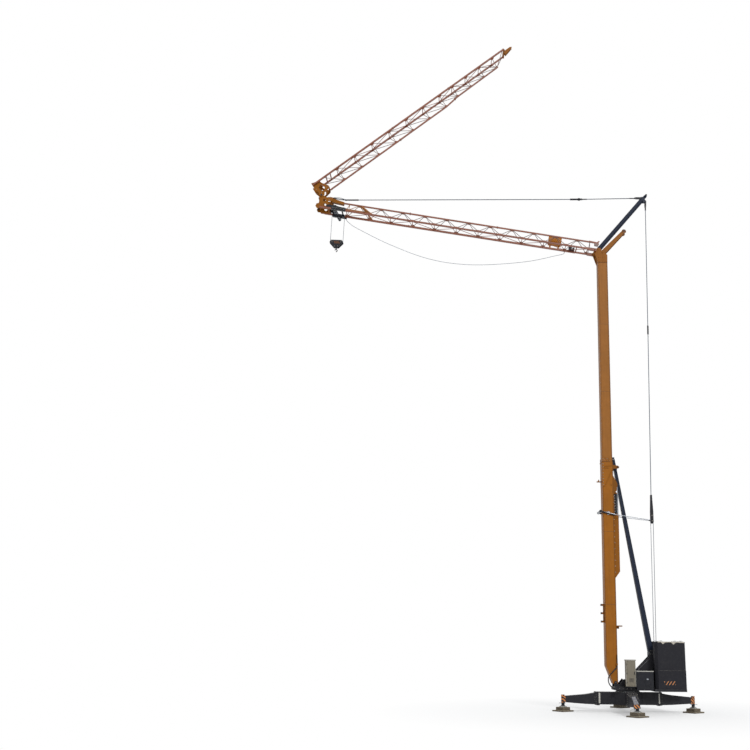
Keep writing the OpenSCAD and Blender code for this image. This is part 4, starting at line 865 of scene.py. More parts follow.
class CRANE_OT_chassis(CraneOperator, bpy.types.Operator):
    """Bolt the outriggers to the cross and add their ribs and plates"""

    bl_idname = "crane.chassis"
    bl_label = "Chassis"

    def execute(self, context):
        bolts, ribs, light, grey, hazard = (bmesh.new() for _ in range(5))
        for k in ARMS.values():
            place = arm_frame(k)
            self.flange_bolts(bolts, place)
            self.ribs(ribs, place)
        left, front, right = (arm_frame(ARMS[name]) for name in ("left", "front", "right"))
        box(light, (1.325, 0.213, 0.40), (1.400, 0.219, 0.86), left)
        box(light, (1.42, -0.219, 0.40), (1.48, -0.213, 0.86), right)
        plate(ribs, [(-0.485, 0.875), (-0.275, 0.902), (-0.085, 0.545), (-0.072, 0.375),
                     (-0.345, 0.330), (-0.385, 0.510)],
              -3.168, -3.152)
        plate(grey, [(-0.455, 0.850), (-0.295, 0.870), (-0.131, 0.545), (-0.350, 0.522)], -3.176, -3.164)
        for x, z in ((-0.39, 0.80), (-0.32, 0.81), (-0.34, 0.69), (-0.26, 0.70), (-0.30, 0.60), (-0.20, 0.61)):
            across(light, x, z, 0.014, -3.180, -3.174, 12)
        plate(hazard, [(-0.359, 0.517), (-0.121, 0.540), (-0.092, 0.395), (-0.330, 0.351)], -3.174, -3.158)
        self.slewing_clamps(bolts)
        piece("chassis_bolts", bolts, "bolt", "chassis", bevel=0.0015)
        piece("chassis_ribs", ribs, "slate", "chassis", bevel=0.003)
        piece("chassis_light_plates", light, "trim", "chassis", bevel=0.002)
        piece("chassis_panel", grey, "panel", "chassis", bevel=0.002)
        piece("outrigger_end_plates", hazard, "hazard", "chassis", bevel=0.002)
        return {"FINISHED"}

    def flange_bolts(self, bm, place):
        for x, way in ((FLANGE_REACH + 0.03, 1), (FLANGE_REACH - 0.03, -1)):
            for side in (-1, 1):
                for at in row((x, side * 0.2275, 0.37), (x, side * 0.2275, 0.86), 6):
                    bolt(bm, at, (way, 0, 0), 0.012, place)
            for at in row((x, -0.16, 0.888), (x, 0.16, 0.888), 4):
                bolt(bm, at, (way, 0, 0), 0.012, place)

    def ribs(self, bm, place):
        for x, wide, low, high in ((2.03, 0.186, 0.352, 0.783), (2.55, 0.150, 0.386, 0.738)):
            box(bm, (x - 0.006, -wide, low - 0.004), (x + 0.006, wide, high + 0.004), place)
        for x in (0.86, 1.2):
            box(bm, (x - 0.006, -0.222, 0.336), (x + 0.006, 0.222, 0.905), place)
        for side in (-1, 1):
            plate(bm, [(1.36, 0.30), (1.50, 0.30), (1.52, 0.345), (1.34, 0.345)],
                  side * 0.15 - 0.01, side * 0.15 + 0.01, place)

    def slewing_clamps(self, bm):
        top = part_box("chassis_cross")[1][2] - 0.01
        for place in turned(sizes().ring_bolts):
            bolt(bm, (0.592, 0, top), (0, 0, 1), 0.012, place)


class CRANE_OT_slewing_ring(CraneOperator, bpy.types.Operator):
    """Cut the teeth of the slewing ring and seal its gap"""

    bl_idname = "crane.slewing_ring"
    bl_label = "Slewing ring"

    def execute(self, context):
        low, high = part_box("slew_ring_lower")
        teeth = bmesh.new()
        for place in turned(sizes().ring_teeth):
            plate(teeth, [(high[0] - 0.004, low[2] + 0.004), (high[0] + 0.011, low[2] + 0.007),
                          (high[0] + 0.011, high[2] - 0.007), (high[0] - 0.004, high[2] - 0.004)],
                  -0.008, 0.008, place)
        piece("slewing_teeth", teeth, "steel", "chassis", bevel=0.0015)
        seal = bmesh.new()
        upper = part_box("slew_ring_upper")
        ring(seal, (0, 0, upper[0][2] + 0.012), (0, 0, 1), upper[1][0] + 0.002, 0.005, sides=96, section=8)
        piece("slewing_seal", seal, "rubber", "upperworks")
        return {"FINISHED"}


class CRANE_OT_jacks(CraneOperator, bpy.types.Operator):
    """Add the jacks' covers and handles, with their nuts, ribs and rings"""

    bl_idname = "crane.jacks"
    bl_label = "Jacks"

    def execute(self, context):
        for name, k in ARMS.items():
            body = "jack_" + name
            place = arm_frame(k) @ Matrix.Translation((JACK_REACH, 0, 0))
            steel, light, dark = bmesh.new(), bmesh.new(), bmesh.new()
            rod(dark, (0, 0, 0.234), (0, 0, 0.394), 0.078, 28, matrix=place)
            for z in (0.262, 0.384):
                ring(dark, (0, 0, z), (0, 0, 1), 0.078, 0.006, sides=28, matrix=place)
            self.handle(light, place)
            for turn in turned(3, place):
                rod(steel, (0.06, 0, 0.377), (0.175, 0, 0.377), 0.012, 10, matrix=turn)
                rod(steel, (0.168, 0, 0.377), (0.19, 0, 0.377), 0.017, 10, matrix=turn)
            for turn in turned(6, place):
                plate(steel, [(0.055, 0.215), (0.162, 0.213), (0.162, 0.223), (0.066, 0.286), (0.055, 0.286)],
                      -0.006, 0.006, turn)
            ring(light, (0, 0, 0.226), (0, 0, 1), 0.163, 0.0105, sides=48, section=10, matrix=place)
            piece("jack_fittings_" + name, steel, "steel", body, bevel=0.0015)
            piece("jack_foot_ring_" + name, light, "trim", body)
            piece("jack_cover_" + name, dark, "dark", body, bevel=0.0015)
        return {"FINISHED"}

    def handle(self, bm, place):
        """Carrying handle of the foot."""
        route = [(0.0, -0.07, 0.292), (0.0, -0.20, 0.306), (0.0, -0.285, 0.296), (0.0, -0.325, 0.262),
                 (0.0, -0.315, 0.226), (0.0, -0.26, 0.214), (0.0, -0.16, 0.216)]
        for a, b in zip(route, route[1:]):
            rod(bm, a, b, 0.012, 10, matrix=place)


class CRANE_OT_boards(CraneOperator, bpy.types.Operator):
    """Lay the planks and timbers under the jacks"""

    bl_idname = "crane.boards"
    bl_label = "Boards"

    def execute(self, context):
        dice = random.Random(11)
        for name, k in ARMS.items():
            place = (arm_frame(k) @ Matrix.Translation((JACK_REACH, 0, 0))
                     @ Matrix.Rotation(math.radians(42), 4, "Z"))
            across_it = place @ Matrix.Rotation(math.radians(90), 4, "Z")
            bm = bmesh.new()
            self.planks(bm, place, 5, 0.72, 0.0, 0.032, dice)
            self.planks(bm, across_it, 4, 0.72, 0.032, 0.060, dice)
            self.planks(bm, place, 3, 0.48, 0.060, 0.132, dice)
            self.planks(bm, across_it, 3, 0.48, 0.132, 0.200, dice)
            made = piece("boards_" + name, bm, "timber", "jack_" + name, bevel=0.004)
            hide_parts("pad_" + name)
        return {"FINISHED"}

    def planks(self, bm, place, count, side, low, high, dice):
        width = side / count
        gap = sizes().plank_gap / 2
        for i in range(count):
            y = -side / 2 + i * width
            first = gap if i else 0
            last = gap if i < count - 1 else 0
            inset = [dice.uniform(0, 0.006) for _ in range(2)]
            self.plank(bm, (-side / 2 + inset[0], y + first, low), (side / 2 - inset[1], y + width - last, high),
                       place, dice.uniform(0, 9), dice.uniform(0, 9))

    def plank(self, bm, low, high, place, u, v):
        """One plank; U runs along its grain, and each has its own stretch of wood."""
        verts = box(bm, low, high, place)
        layer = bm.loops.layers.uv.verify()
        home = place.inverted()
        for face in {face for vert in verts for face in vert.link_faces}:
            for loop in face.loops:
                at = home @ loop.vert.co
                loop[layer].uv = (at.x + u, at.y + at.z + v)


# Deck and machinery

class CRANE_OT_deck(CraneOperator, bpy.types.Operator):
    """Add the deck's edges, eyes and bolts"""

    bl_idname = "crane.deck"
    bl_label = "Deck"

    def execute(self, context):
        low, high = DECK_LOW, DECK_HIGH
        edge, bolts = bmesh.new(), bmesh.new()
        front = low[0] + 0.032
        side = 0.55
        for y in (-side, side):
            box(edge, (front + 0.01, y - 0.005, 0.995), (1.11, y + 0.005, 1.012))
            box(edge, (front + 0.01, y - 0.005, 1.118), (1.11, y + 0.005, 1.135))
            for at in row((-0.5, y, 1.065), (1.0, y, 1.065), 9):
                bolt(bolts, at, (0, 1 if y > 0 else -1, 0), 0.011)
            for x in (-0.55, 1.02):
                plate(edge, [(x - 0.05, 1.138), (x + 0.05, 1.138), (x + 0.035, 1.205), (x - 0.035, 1.205)],
                      y * 0.93 - 0.008, y * 0.93 + 0.008)
        for x in row((1.25, 0, 0), (2.55, 0, 0), 5):
            for y in (-0.88, 0.88):
                box(edge, (x.x - 0.006, min(y, y * 0.996), 0.963), (x.x + 0.006, max(y, y * 0.996), 1.067))
        rod(edge, (front - 0.012, -0.35, 1.066), (front + 0.002, -0.35, 1.066), 0.034, 6)
        self.mast_foot(edge, bolts)
        piece("deck_edges", edge, "slate", "upperworks", bevel=0.002)
        piece("deck_bolts", bolts, "bolt", "upperworks", bevel=0.001)
        return {"FINISHED"}

    def mast_foot(self, edge, bolts):
        """Collars of the mast's foot pin and the weld along its cheeks."""
        x, z = MAST_FRONT + 0.425, 1.34
        for y in (-0.33, 0.33):
            out = 1 if y > 0 else -1
            across(edge, x, z, 0.047, y - 0.006, y + 0.006, 24)
            rod(bolts, (x, y, z), (x, y + out * 0.012, z), 0.016, 6)
            rod(edge, (-0.66, y * 0.985, 1.141), (-0.08, y * 0.985, 1.141), 0.008, 8)


class CRANE_OT_cabinet(CraneOperator, bpy.types.Operator):
    """Hang the electric cabinet's door and fit its roof and plinth"""

    bl_idname = "crane.cabinet"
    bl_label = "Electric cabinet"

    def execute(self, context):
        low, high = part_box("electric_cabinet")
        x1, x2, y1 = low[0] + 0.02, high[0] - 0.02, low[1] + 0.02
        coat, dark, light = bmesh.new(), bmesh.new(), bmesh.new()
        box(coat, (x1 + 0.045, y1 - 0.007, 1.235), (x2 - 0.02, y1 + 0.004, 2.285))
        for side, y in ((x1, -0.66), (x2, -0.66)):
            box(coat, (side - 0.005, y - 0.11, 1.26), (side + 0.005, y + 0.11, 2.27))
        for at in row((0, 0, 1.38), (0, 0, 1.53), 6):
            plate(dark, [(x1 + 0.14, at.z), (x2 - 0.10, at.z), (x2 - 0.10, at.z + 0.012),
                         (x1 + 0.14, at.z + 0.012)], y1 - 0.011, y1 - 0.003)
        for z in (1.36, 1.76, 2.16):
            rod(dark, (x1 + 0.032, y1 - 0.008, z - 0.035), (x1 + 0.032, y1 - 0.008, z + 0.035), 0.009, 10)
        box(dark, (x2 - 0.075, y1 - 0.018, 1.70), (x2 - 0.045, y1 - 0.004, 1.83))
        rod(dark, (x2 - 0.06, y1 - 0.028, 1.71), (x2 - 0.06, y1 - 0.028, 1.79), 0.008, 10)
        box(dark, (x1 + 0.012, y1 + 0.012, 1.142), (x2 - 0.012, high[1] - 0.03, 1.182))
        for x in (x1 + 0.003, x2 - 0.003):
            rod(light, (x, y1 + 0.003, 1.182), (x, y1 + 0.003, 2.33), 0.007, 10)
        box(light, (low[0] - 0.003, low[1] - 0.003, 2.335), (high[0] + 0.003, high[1] - 0.08, 2.352))
        box(light, (low[0] + 0.012, low[1] + 0.012, high[2] - 0.002),
            (high[0] - 0.012, high[1] - 0.1, high[2] + 0.006))
        piece("cabinet_door", coat, "cabinet", "upperworks", bevel=0.004)
        piece("cabinet_fittings", dark, "dark", "upperworks", bevel=0.002)
        piece("cabinet_rim", light, "trim", "upperworks", bevel=0.003)
        return {"FINISHED"}


class CRANE_OT_machinery(CraneOperator, bpy.types.Operator):
    """Fit the machinery box's doors and lid and dress the winches"""

    bl_idname = "crane.machinery"
    bl_label = "Machinery"

    def execute(self, context):
        low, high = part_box("machinery_box")
        x1, x2, y1 = low[0] + 0.01, high[0] - 0.01, low[1] + 0.01
        dark, light, bright = bmesh.new(), bmesh.new(), bmesh.new()
        middle = (x1 + x2) / 2
        for a, b in ((x1 + 0.02, middle - 0.004), (middle + 0.004, x2 - 0.02)):
            box(dark, (a, y1 - 0.006, 1.06), (b, y1 + 0.004, 1.81))
            for z in (1.16, 1.70):
                hinge = a + 0.012 if a < middle - 0.1 else b - 0.012
                rod(dark, (hinge, y1 - 0.012, z - 0.03), (hinge, y1 - 0.012, z + 0.03), 0.008, 8)
        for at in row((0, 0, 1.12), (0, 0, 1.30), 7):
            box(dark, (middle + 0.06, y1 - 0.012, at.z), (x2 - 0.09, y1 - 0.004, at.z + 0.012))
        box(light, (low[0] - 0.002, low[1] - 0.004, high[2] - 0.034),
            (high[0] + 0.002, low[1] + 0.02, high[2] + 0.003))
        box(bright, (middle + 0.06, y1 - 0.022, 1.48), (middle + 0.15, y1 - 0.006, 1.54))
        rod(dark, (middle - 0.05, y1 - 0.024, 1.38), (middle - 0.05, y1 - 0.024, 1.47), 0.008, 10)
        piece("machinery_doors", dark, "dark", "upperworks", bevel=0.003)
        piece("machinery_lid_rim", light, "trim", "upperworks", bevel=0.004)
        piece("machinery_handles", bright, "galvanised", "upperworks", bevel=0.003)
        self.winches()
        return {"FINISHED"}

    def winches(self):
        low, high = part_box("hoist_winch")
        x, y, radius = (low[0] + high[0]) / 2, (low[1] + high[1]) / 2, 0.165
        rope, fins = bmesh.new(), bmesh.new()
        for at in row((x, y, 1.212), (x, y, 1.358), 8):
            ring(rope, at, (0, 0, 1), radius * 0.85 + 0.004, 0.0105, sides=40, section=8)
        place = Matrix.Translation((x, y, 0))
        for turn in turned(24, place):
            box(fins, (radius * 0.76, -0.003, 1.655), (radius * 0.86, 0.003, 1.80), turn)
        for turn in turned(8, place):
            bolt(fins, (radius * 0.84, 0, 1.64), (0, 0, 1), 0.009, turn)
        box(fins, (x + 0.10, y - 0.05, 1.66), (x + 0.19, y + 0.05, 1.76))
        low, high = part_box("erection_winch")
        drum_x, drum_z = (low[0] + high[0]) / 2, 1.30
        for at in row((drum_x, -0.195, drum_z), (drum_x, -0.005, drum_z), 9):
            ring(rope, at, (0, 1, 0), 0.134, 0.0105, sides=40, section=8)
        for y in (-0.236, 0.036):
            for i in range(6):
                turn = math.radians(60 * i)
                bolt(fins, (drum_x + 0.09 * math.cos(turn), y, drum_z + 0.09 * math.sin(turn) - 0.06),
                     (0, -1 if y < 0 else 1, 0), 0.010)
        piece("winch_rope", rope, "rope_plain", "upperworks")
        piece("winch_fins", fins, "dark", "upperworks", bevel=0.0015)


class CRANE_OT_ballast(CraneOperator, bpy.types.Operator):
    """Dress the ballast blocks and the post before them"""

    bl_idname = "crane.ballast"
    bl_label = "Ballast and post"

    def execute(self, context):
        low, high = BALLAST_LOW, BALLAST_HIGH
        seam_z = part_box("ballast_lower")[1][2]
        near = low[1]
        dark, light, bars, bolts, black = (bmesh.new() for _ in range(5))
        for side in (-1, 1):
            y1, y2 = sorted((side * 0.30, side * 0.85))
            box(light, (low[0] + 0.15, y1 + 0.02, high[2] - 0.002), (high[0] - 0.02, y2 - 0.02, high[2] + 0.008))
            self.notched_strip(light, high, side)
            for x in (1.42, 2.38):
                for y in (y1 + 0.13, y2 - 0.13):
                    bolt(bolts, (x, y, high[2] + 0.006), (0, 0, 1), 0.022)
                    ring(dark, (x + 0.12, y, high[2] + 0.012), (0, 1, 0), 0.035, 0.008, sides=20)
            for x, z in ((1.55, 2.86), (2.10, 2.73), (2.30, 2.44), (1.55, 1.30), (2.45, 1.30)):
                across(dark, x, z, 0.022, side * 0.846 - 0.008, side * 0.846 + 0.008, 16)
            rod(black, (1.32, side * 0.846, seam_z), (2.61, side * 0.846, seam_z), 0.013, 8)
            for z in (1.10, seam_z - 0.03, seam_z + 0.03, 3.17):
                rod(dark, (high[0] - 0.006, side * 0.34, z), (high[0] - 0.006, side * 0.82, z), 0.008, 8)
        box(dark, (1.555, near - 0.001, 1.250), (2.125, near + 0.004, 1.440))
        for x in (1.627, 1.776, 1.925):
            plate(bars, [(x, 1.262), (x + 0.056, 1.262), (x + 0.180, 1.428), (x + 0.124, 1.428)],
                  near - 0.003, near + 0.002)
        plate(bars, [(1.570, 1.352), (1.627, 1.428), (1.574, 1.428), (1.570, 1.420)], near - 0.003, near + 0.002)
        plate(bars, [(2.074, 1.262), (2.112, 1.262), (2.112, 1.312)], near - 0.003, near + 0.002)
        grey = bmesh.new()
        self.post(dark, grey, bolts)
        piece("post_brace", grey, "panel", "upperworks")
        piece("ballast_trim", dark, "dark", "upperworks", bevel=0.0015)
        piece("ballast_seam", black, "rubber", "upperworks")
        piece("ballast_top", light, "concrete", "upperworks", bevel=0.003)
        piece("ballast_bars", bars, "stripe", "upperworks", bevel=0.0008)
        piece("ballast_bolts", bolts, "bolt", "upperworks", bevel=0.0015)
        return {"FINISHED"}

    def notched_strip(self, bm, high, side):
        """Light strip along the top edge, cut to a point at each lifting place."""
        top, y = high[2] + 0.002, side * 0.847
        plate(bm, [(1.33, top), (1.33, top - 0.028), (1.486, top - 0.030), (1.56, top - 0.105), (1.60, top - 0.105),
                   (1.69, top - 0.030), (1.97, top - 0.030), (2.06, top - 0.115), (2.10, top - 0.115),
                   (2.20, top - 0.030), (2.60, top - 0.05), (2.60, top)], y - 0.004, y + 0.004)

    def post(self, dark, grey, bolts):
        """Brace along the post's slope, with the collars of the strut's foot pin."""
        for side in (-1, 1):
            rod(grey, (0.50, side * 0.196, 1.915), (1.04, side * 0.196, 2.42), 0.007, 8)
            rod(dark, (0.33, side * 0.193, 1.60), (1.16, side * 0.193, 1.60), 0.010, 8)
            across(dark, 1.16, 2.70, 0.058, side * 0.204 - 0.008, side * 0.204 + 0.008, 28)
            for i in range(6):
                turn = math.radians(60 * i)
                bolt(bolts, (1.16 + 0.085 * math.cos(turn), side * 0.19, 2.70 + 0.085 * math.sin(turn)),
                     (0, side, 0), 0.010)


# Mast, struts and stays

class CRANE_OT_mast(CraneOperator, bpy.types.Operator):
    """Add the mast's weld seams, joint bolts and rail"""

    bl_idname = "crane.mast"
    bl_label = "Mast"

    def execute(self, context):
        seams, bolts, dark, light = (bmesh.new() for _ in range(4))
        seam = sizes().seam_radius
        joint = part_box("mast_upper")[0][2]
        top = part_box("mast_upper")[1][2]
        for side in (-1, 1):
            self.corner_seams(seams, side, joint, top, seam)
            self.rail(light, dark, side)
            self.joint(bolts, dark, side, joint)
        for z in (4.9, 8.4):
            self.belt(seams, MAST_FRONT, MAST_REAR, -MAST_FACE, z, seam)
        for z in (15.6, 19.3):
            self.belt(seams, MAST_FRONT + 0.04, MAST_REAR - 0.04, -HEAD_FACE, z, seam)
        for z in (4.105, 4.495, 4.885):
            box(dark, (MAST_FRONT - 0.165, -0.092, z - 0.047), (MAST_FRONT - 0.128, 0.092, z + 0.047))
        for at in HOSE[2:11:4]:
            ring(dark, at, Vector(HOSE[HOSE.index(at) + 1]) - Vector(HOSE[HOSE.index(at) - 1]), 0.0275, 0.005)
        box(dark, (MAST_REAR + 0.055, -0.134, 9.31), (MAST_REAR + 0.248, 0.134, 10.30))
        start = Vector(HOSE[0])
        rod(dark, start, start + Vector((0.004, 0.004, 0.46)), 0.020, 12)
        for z in (0.14, 0.38):
            ring(dark, start + Vector((0.002, 0.002, z)), (0, 0, 1), 0.024, 0.007, sides=20)
        ribs, tube = bmesh.new(), bmesh.new()
        self.ribs(ribs, joint)
        rod(tube, (MAST_REAR + 0.195, MAST_FACE + 0.012, 10.62),
            (MAST_REAR + 0.165, MAST_FACE - 0.012, 9.20), 0.016, 10)
        piece("mast_ribs", ribs, "head", "upperworks", bevel=0.003)
        piece("mast_tube", tube, "galvanised", "upperworks")
        piece("mast_seams", seams, "seam", "upperworks")
        piece("mast_bolts", bolts, "bolt", "upperworks", bevel=0.001)
        piece("mast_dark_fittings_and_painted_shade", dark, "dark", "upperworks", bevel=0.001)
        piece("mast_rail_holes", light, "trim", "upperworks")
        return {"FINISHED"}

    def ribs(self, bm, joint):
        """Stiffening ribs on the near plate of the mast's joint."""
        face = MAST_FACE - 0.02
        for a, b in (((0.50, -0.42), (0.13, -1.22)), ((0.12, -0.24), (0.52, -0.20)), ((0.16, 0.09), (0.36, 0.09)),
                     ((0.16, 0.09), (0.16, 0.18)), ((0.36, 0.09), (0.36, 0.18)), ((0.12, -0.24), (0.12, -0.33)),
                     ((0.12, -0.33), (0.34, -0.32))):
            rod(bm, (MAST_FRONT + a[0], face, joint + a[1]), (MAST_FRONT + b[0], face, joint + b[1]), 0.020, 8)
        across(bm, MAST_FRONT + 0.47, joint - 1.17, 0.034, face - 0.012, face + 0.004, 16)

    def corner_seams(self, bm, side, joint, top, seam):
        for x in (MAST_FRONT + 0.03, MAST_REAR - 0.03):
            rod(bm, (x, side * -MAST_FACE, 2.12), (x, side * -MAST_FACE, joint - 1.27), seam, 6)
        for x in (MAST_FRONT + 0.065, MAST_REAR - 0.065):
            rod(bm, (x, side * -HEAD_FACE, joint + 0.22), (x, side * -HEAD_FACE, top - 0.33), seam, 6)

    def belt(self, bm, x1, x2, half, z, seam):
        """A weld bead round the mast."""
        corners = [(x1, -half, z), (x2, -half, z), (x2, half, z), (x1, half, z)]
        for a, b in zip(corners, corners[1:] + corners[:1]):
            rod(bm, a, b, seam, 6)

    def rail(self, light, dark, side):
        """Holes and bolts along the rail behind the mast, and a dark rod of painted shade beside it."""
        x = MAST_REAR + 0.03
        y = side * 0.130
        # painted shade: a dark rod where the mast's rear face lies in shade beside the rail
        rod(dark, (MAST_REAR + 0.006, y, 6.2), (MAST_REAR + 0.006, y, 10.6), 0.010, 6)
        for at in row((MAST_REAR + 0.085, y, 9.42), (MAST_REAR + 0.085, y, 10.22), 7):
            across(light, at.x, at.z, 0.018, side * 0.133, side * 0.139, 14)
        for at in row((x, y, 6.45), (x, y, 10.45), 15):
            across(light, at.x, at.z, 0.017, y - 0.004, y + 0.004, 14)
        for at in row((MAST_REAR + 0.22, y, 6.55), (MAST_REAR + 0.22, y, 9.15), 8):
            across(dark, at.x, at.z, 0.012, y - 0.006, y + 0.006, 10)

    def joint(self, bolts, dark, side, joint):
        face = side * (-MAST_FACE + 0.02)
        for z in row((0, 0, joint - 1.18), (0, 0, joint - 0.12), 8):
            bolt(bolts, (MAST_FRONT + 0.05, face, z.z), (0, side, 0), 0.014)
        for x in row((MAST_FRONT + 0.05, 0, 0), (MAST_FRONT + 0.36, 0, 0), 4):
            for z in (joint + 0.08, joint + 0.16):
                bolt(bolts, (x.x, face, z), (0, side, 0), 0.014)
        rod(dark, (MAST_FRONT - 0.004, face, joint), (MAST_REAR - 0.14, face, joint), 0.009, 8)
        across(dark, MAST_REAR + 0.25, joint - 0.27, 0.036, side * 0.315 - 0.006, side * 0.315 + 0.006, 20)


class CRANE_OT_struts(CraneOperator, bpy.types.Operator):
    """Dress the rear strut, the guide bars and the rope block"""

    bl_idname = "crane.struts"
    bl_label = "Struts and rope block"

    def execute(self, context):
        dark, bolts, light = bmesh.new(), bmesh.new(), bmesh.new()
        foot, head = Vector((1.16, 0, 2.70)), Vector((-0.445, 0, 12.08))
        way = (head - foot).normalized()
        out = Vector((way.z, 0, -way.x))
        for side in (-1, 1):
            for edge in (-1, 1):
                a = foot + way * 0.62 + out * edge * 0.112 + Vector((0, side * 0.130, 0))
                b = head - way * 0.12 + out * edge * 0.056 + Vector((0, side * 0.0855, 0))
                rod(dark, a, b, 0.008, 6)
            for t in (0.14, 0.38, 0.62, 0.86):
                at = foot.lerp(head, t)
                half = 0.118 - 0.055 * t
                y = side * (0.131 - 0.045 * t)
                rod(dark, at + out * half + Vector((0, y, 0)), at - out * half + Vector((0, y, 0)), 0.008, 6)
            across(bolts, head.x, 12.05, 0.024, side * 0.118 - 0.006, side * 0.118 + 0.006, 12)
        self.guide(light, dark)
        self.block(dark, bolts)
        piece("strut_seams", dark, "dark", "upperworks")
        piece("strut_bolts", bolts, "bolt", "upperworks")
        piece("guide_clamps", light, "galvanised", "upperworks", bevel=0.001)
        return {"FINISHED"}

    def guide(self, light, dark):
        """Sleeves and clamps of the guide bars."""
        slope = -0.150 / 0.610
        for side in (-1, 1):
            a, b = (Vector((x, side * 0.3093, 9.39 + (x + 1.175) * slope)) for x in (-1.15, -0.45))
            rod(dark, a, b, 0.040, 12)
            for t in (0.15, 0.85):
                ring(dark, a.lerp(b, t), b - a, 0.041, 0.006, sides=20)
            across(dark, MAST_FRONT - 0.13, 9.39, 0.068, side * 0.352 - 0.008, side * 0.352 + 0.008, 24)
        for x in (-0.20, 1.10):
            half = 0.309 - (x + 0.435) * 0.105
            z = 9.24 - (x + 0.435) * 0.1186
            rod(light, (x, -half, z), (x, half, z), 0.009, 8)

    def block(self, dark, bolts):
        """Sheave rims and pins of the rope block behind the mast."""
        for z in (9.0, 9.27):
            for y in (-0.028, 0.028):
                ring(dark, (1.46, y, z), (0, 1, 0), 0.056, 0.007, sides=32)
            for side in (-1, 1):
                bolt(bolts, (1.46, side * 0.070, z), (0, side, 0), 0.018)
        for z in (8.93, 9.135, 9.34, 10.05, 10.21):
            for side in (-1, 1):
                bolt(bolts, (1.46 + (0.045 if z < 9.5 else 0.0), side * 0.067, z), (0, side, 0), 0.009)


class CRANE_OT_head(CraneOperator, bpy.types.Operator):
    """Add the pins, rollers and collars at the mast's head"""

    bl_idname = "crane.head"
    bl_label = "Mast head"

    def execute(self, context):
        steel, paint_bm, dark = bmesh.new(), bmesh.new(), bmesh.new()
        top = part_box("mast_upper")[1][2]
        root = JIB.translation
        middle = (MAST_FRONT + MAST_REAR) / 2
        half = (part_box("mast_upper")[1][0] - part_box("mast_upper")[0][0]) / 2
        foot = Vector((middle - 0.235, 0, top + 0.450))
        arm = Vector((middle, 0, top + 0.265))
        arm_tip = Vector((middle + 1.225, 0, top + 1.63))
        for side in (-1, 1):
            for x, z, radius, y in ((root.x, root.z, 0.045, 0.325), (foot.x, foot.z, 0.050, 0.280),
                                    (arm.x, arm.z, 0.045, 0.280)):
                across(steel, x, z, radius, side * y - 0.006, side * y + 0.006, 24)
                bolt(steel, (x, side * (y + 0.004), z), (0, side, 0), 0.014)
            for z in (top - 0.26, top - 0.04):
                for at in row((middle - half + 0.05, side * 0.265, z), (middle + half - 0.05, side * 0.265, z), 5):
                    bolt(steel, at, (0, side, 0), 0.013)
            rod(paint_bm, (middle - half, side * 0.262, top - 0.308), (middle + half, side * 0.262, top - 0.308),
                0.008, 6)
            across(dark, arm_tip.x, arm_tip.z, 0.052, side * 0.176 - 0.006, side * 0.176 + 0.006, 24)
        across(dark, arm_tip.x, arm_tip.z, 0.066, -0.14, 0.14, 28)
        eye = bmesh.new()
        for side in (-1, 1):
            y1, y2 = sorted((side * 0.169, side * 0.174))
            across(eye, arm_tip.x, arm_tip.z - 0.02, 0.118, y1, y2, 32)
            ring(dark, (arm_tip.x, side * 0.174, arm_tip.z - 0.02), (0, 1, 0), 0.112, 0.009, sides=32)
        piece("head_arm_eyes", eye, "head", "upperworks", bevel=0.001)
        tip = Vector((1.65, 0, 26.915))
        for side in (-1, 1):
            for x, z, radius in ((-0.13, -0.01, 0.030), (0.09, -0.23, 0.030), (0.12, 0.125, 0.056)):
                y = 0.066 if radius < 0.05 else 0.156
                across(dark, tip.x + x, tip.z + z, radius, side * y - 0.006, side * y + 0.006, 20)
        way = (tip - foot).normalized()
        for t in (0.17, 1.45, 2.75, (tip - foot).length - 0.24):
            ring(dark, foot + way * t, way, 0.126, 0.006, sides=32)
        self.sockets(dark)
        piece("head_pins", steel, "head", "upperworks", bevel=0.001)
        piece("head_seams", paint_bm, "seam", "upperworks")
        piece("head_rollers", dark, "dark", "upperworks", bevel=0.001)
        return {"FINISHED"}


    def sockets(self, bm):
        """Dark sockets, turnbuckle and forks on the tie bar and on the back stay."""
        a = JIB @ Vector((-PIVOT_ALONG + 1.28, 0, PIVOT_UP + 0.07))
        b = Vector((1.52, 0, 26.905))
        m = b - (b - a).normalized() * 3.5 - Vector((0, 0, 0.045))
        left, right = (m - a).normalized(), (b - m).normalized()
        for c, d, radius in ((a + left * 0.022, a + left * 0.698, 0.0375), (m - left * 0.488, m, 0.0495),
                             (m, m + right * 0.178, 0.0495), (m - left * 0.054, m + left * 0.054, 0.0735),
                             (m + right * 0.17, m + right * 0.438, 0.0315), (b - right * 0.658, b - right * 0.30, 0.0295),
                             (b - right * 0.31, b - right * 0.045, 0.0435)):
            rod(bm, c, d, radius, 16)
        plate(bm, [(b.x - 0.40, b.z - 0.045), (b.x - 0.28, b.z - 0.066), (b.x - 0.02, b.z - 0.058),
                   (b.x - 0.02, b.z + 0.05), (b.x - 0.28, b.z + 0.045), (b.x - 0.40, b.z + 0.01)], -0.034, 0.034)
        pin, foot = Vector((1.74, 0, 26.685)), Vector((1.46, 0, 10.21))
        down = (foot - pin).normalized()
        joint = Vector((1.62, 0, 19.13))
        rod(bm, pin + down * 0.04, pin + down * 0.518, 0.0375, 16)
        plate(bm, [(pin.x - 0.05, pin.z - 0.02), (pin.x + 0.05, pin.z - 0.02), (pin.x + 0.042, pin.z - 0.24),
                   (pin.x + 0.02, pin.z - 0.40), (pin.x - 0.035, pin.z - 0.40), (pin.x - 0.055, pin.z - 0.24)],
              -0.034, 0.034)
        rod(bm, joint + Vector((0.003, 0, 0.24)), joint - Vector((0.003, 0, 0.24)), 0.0415, 16)


# Jib

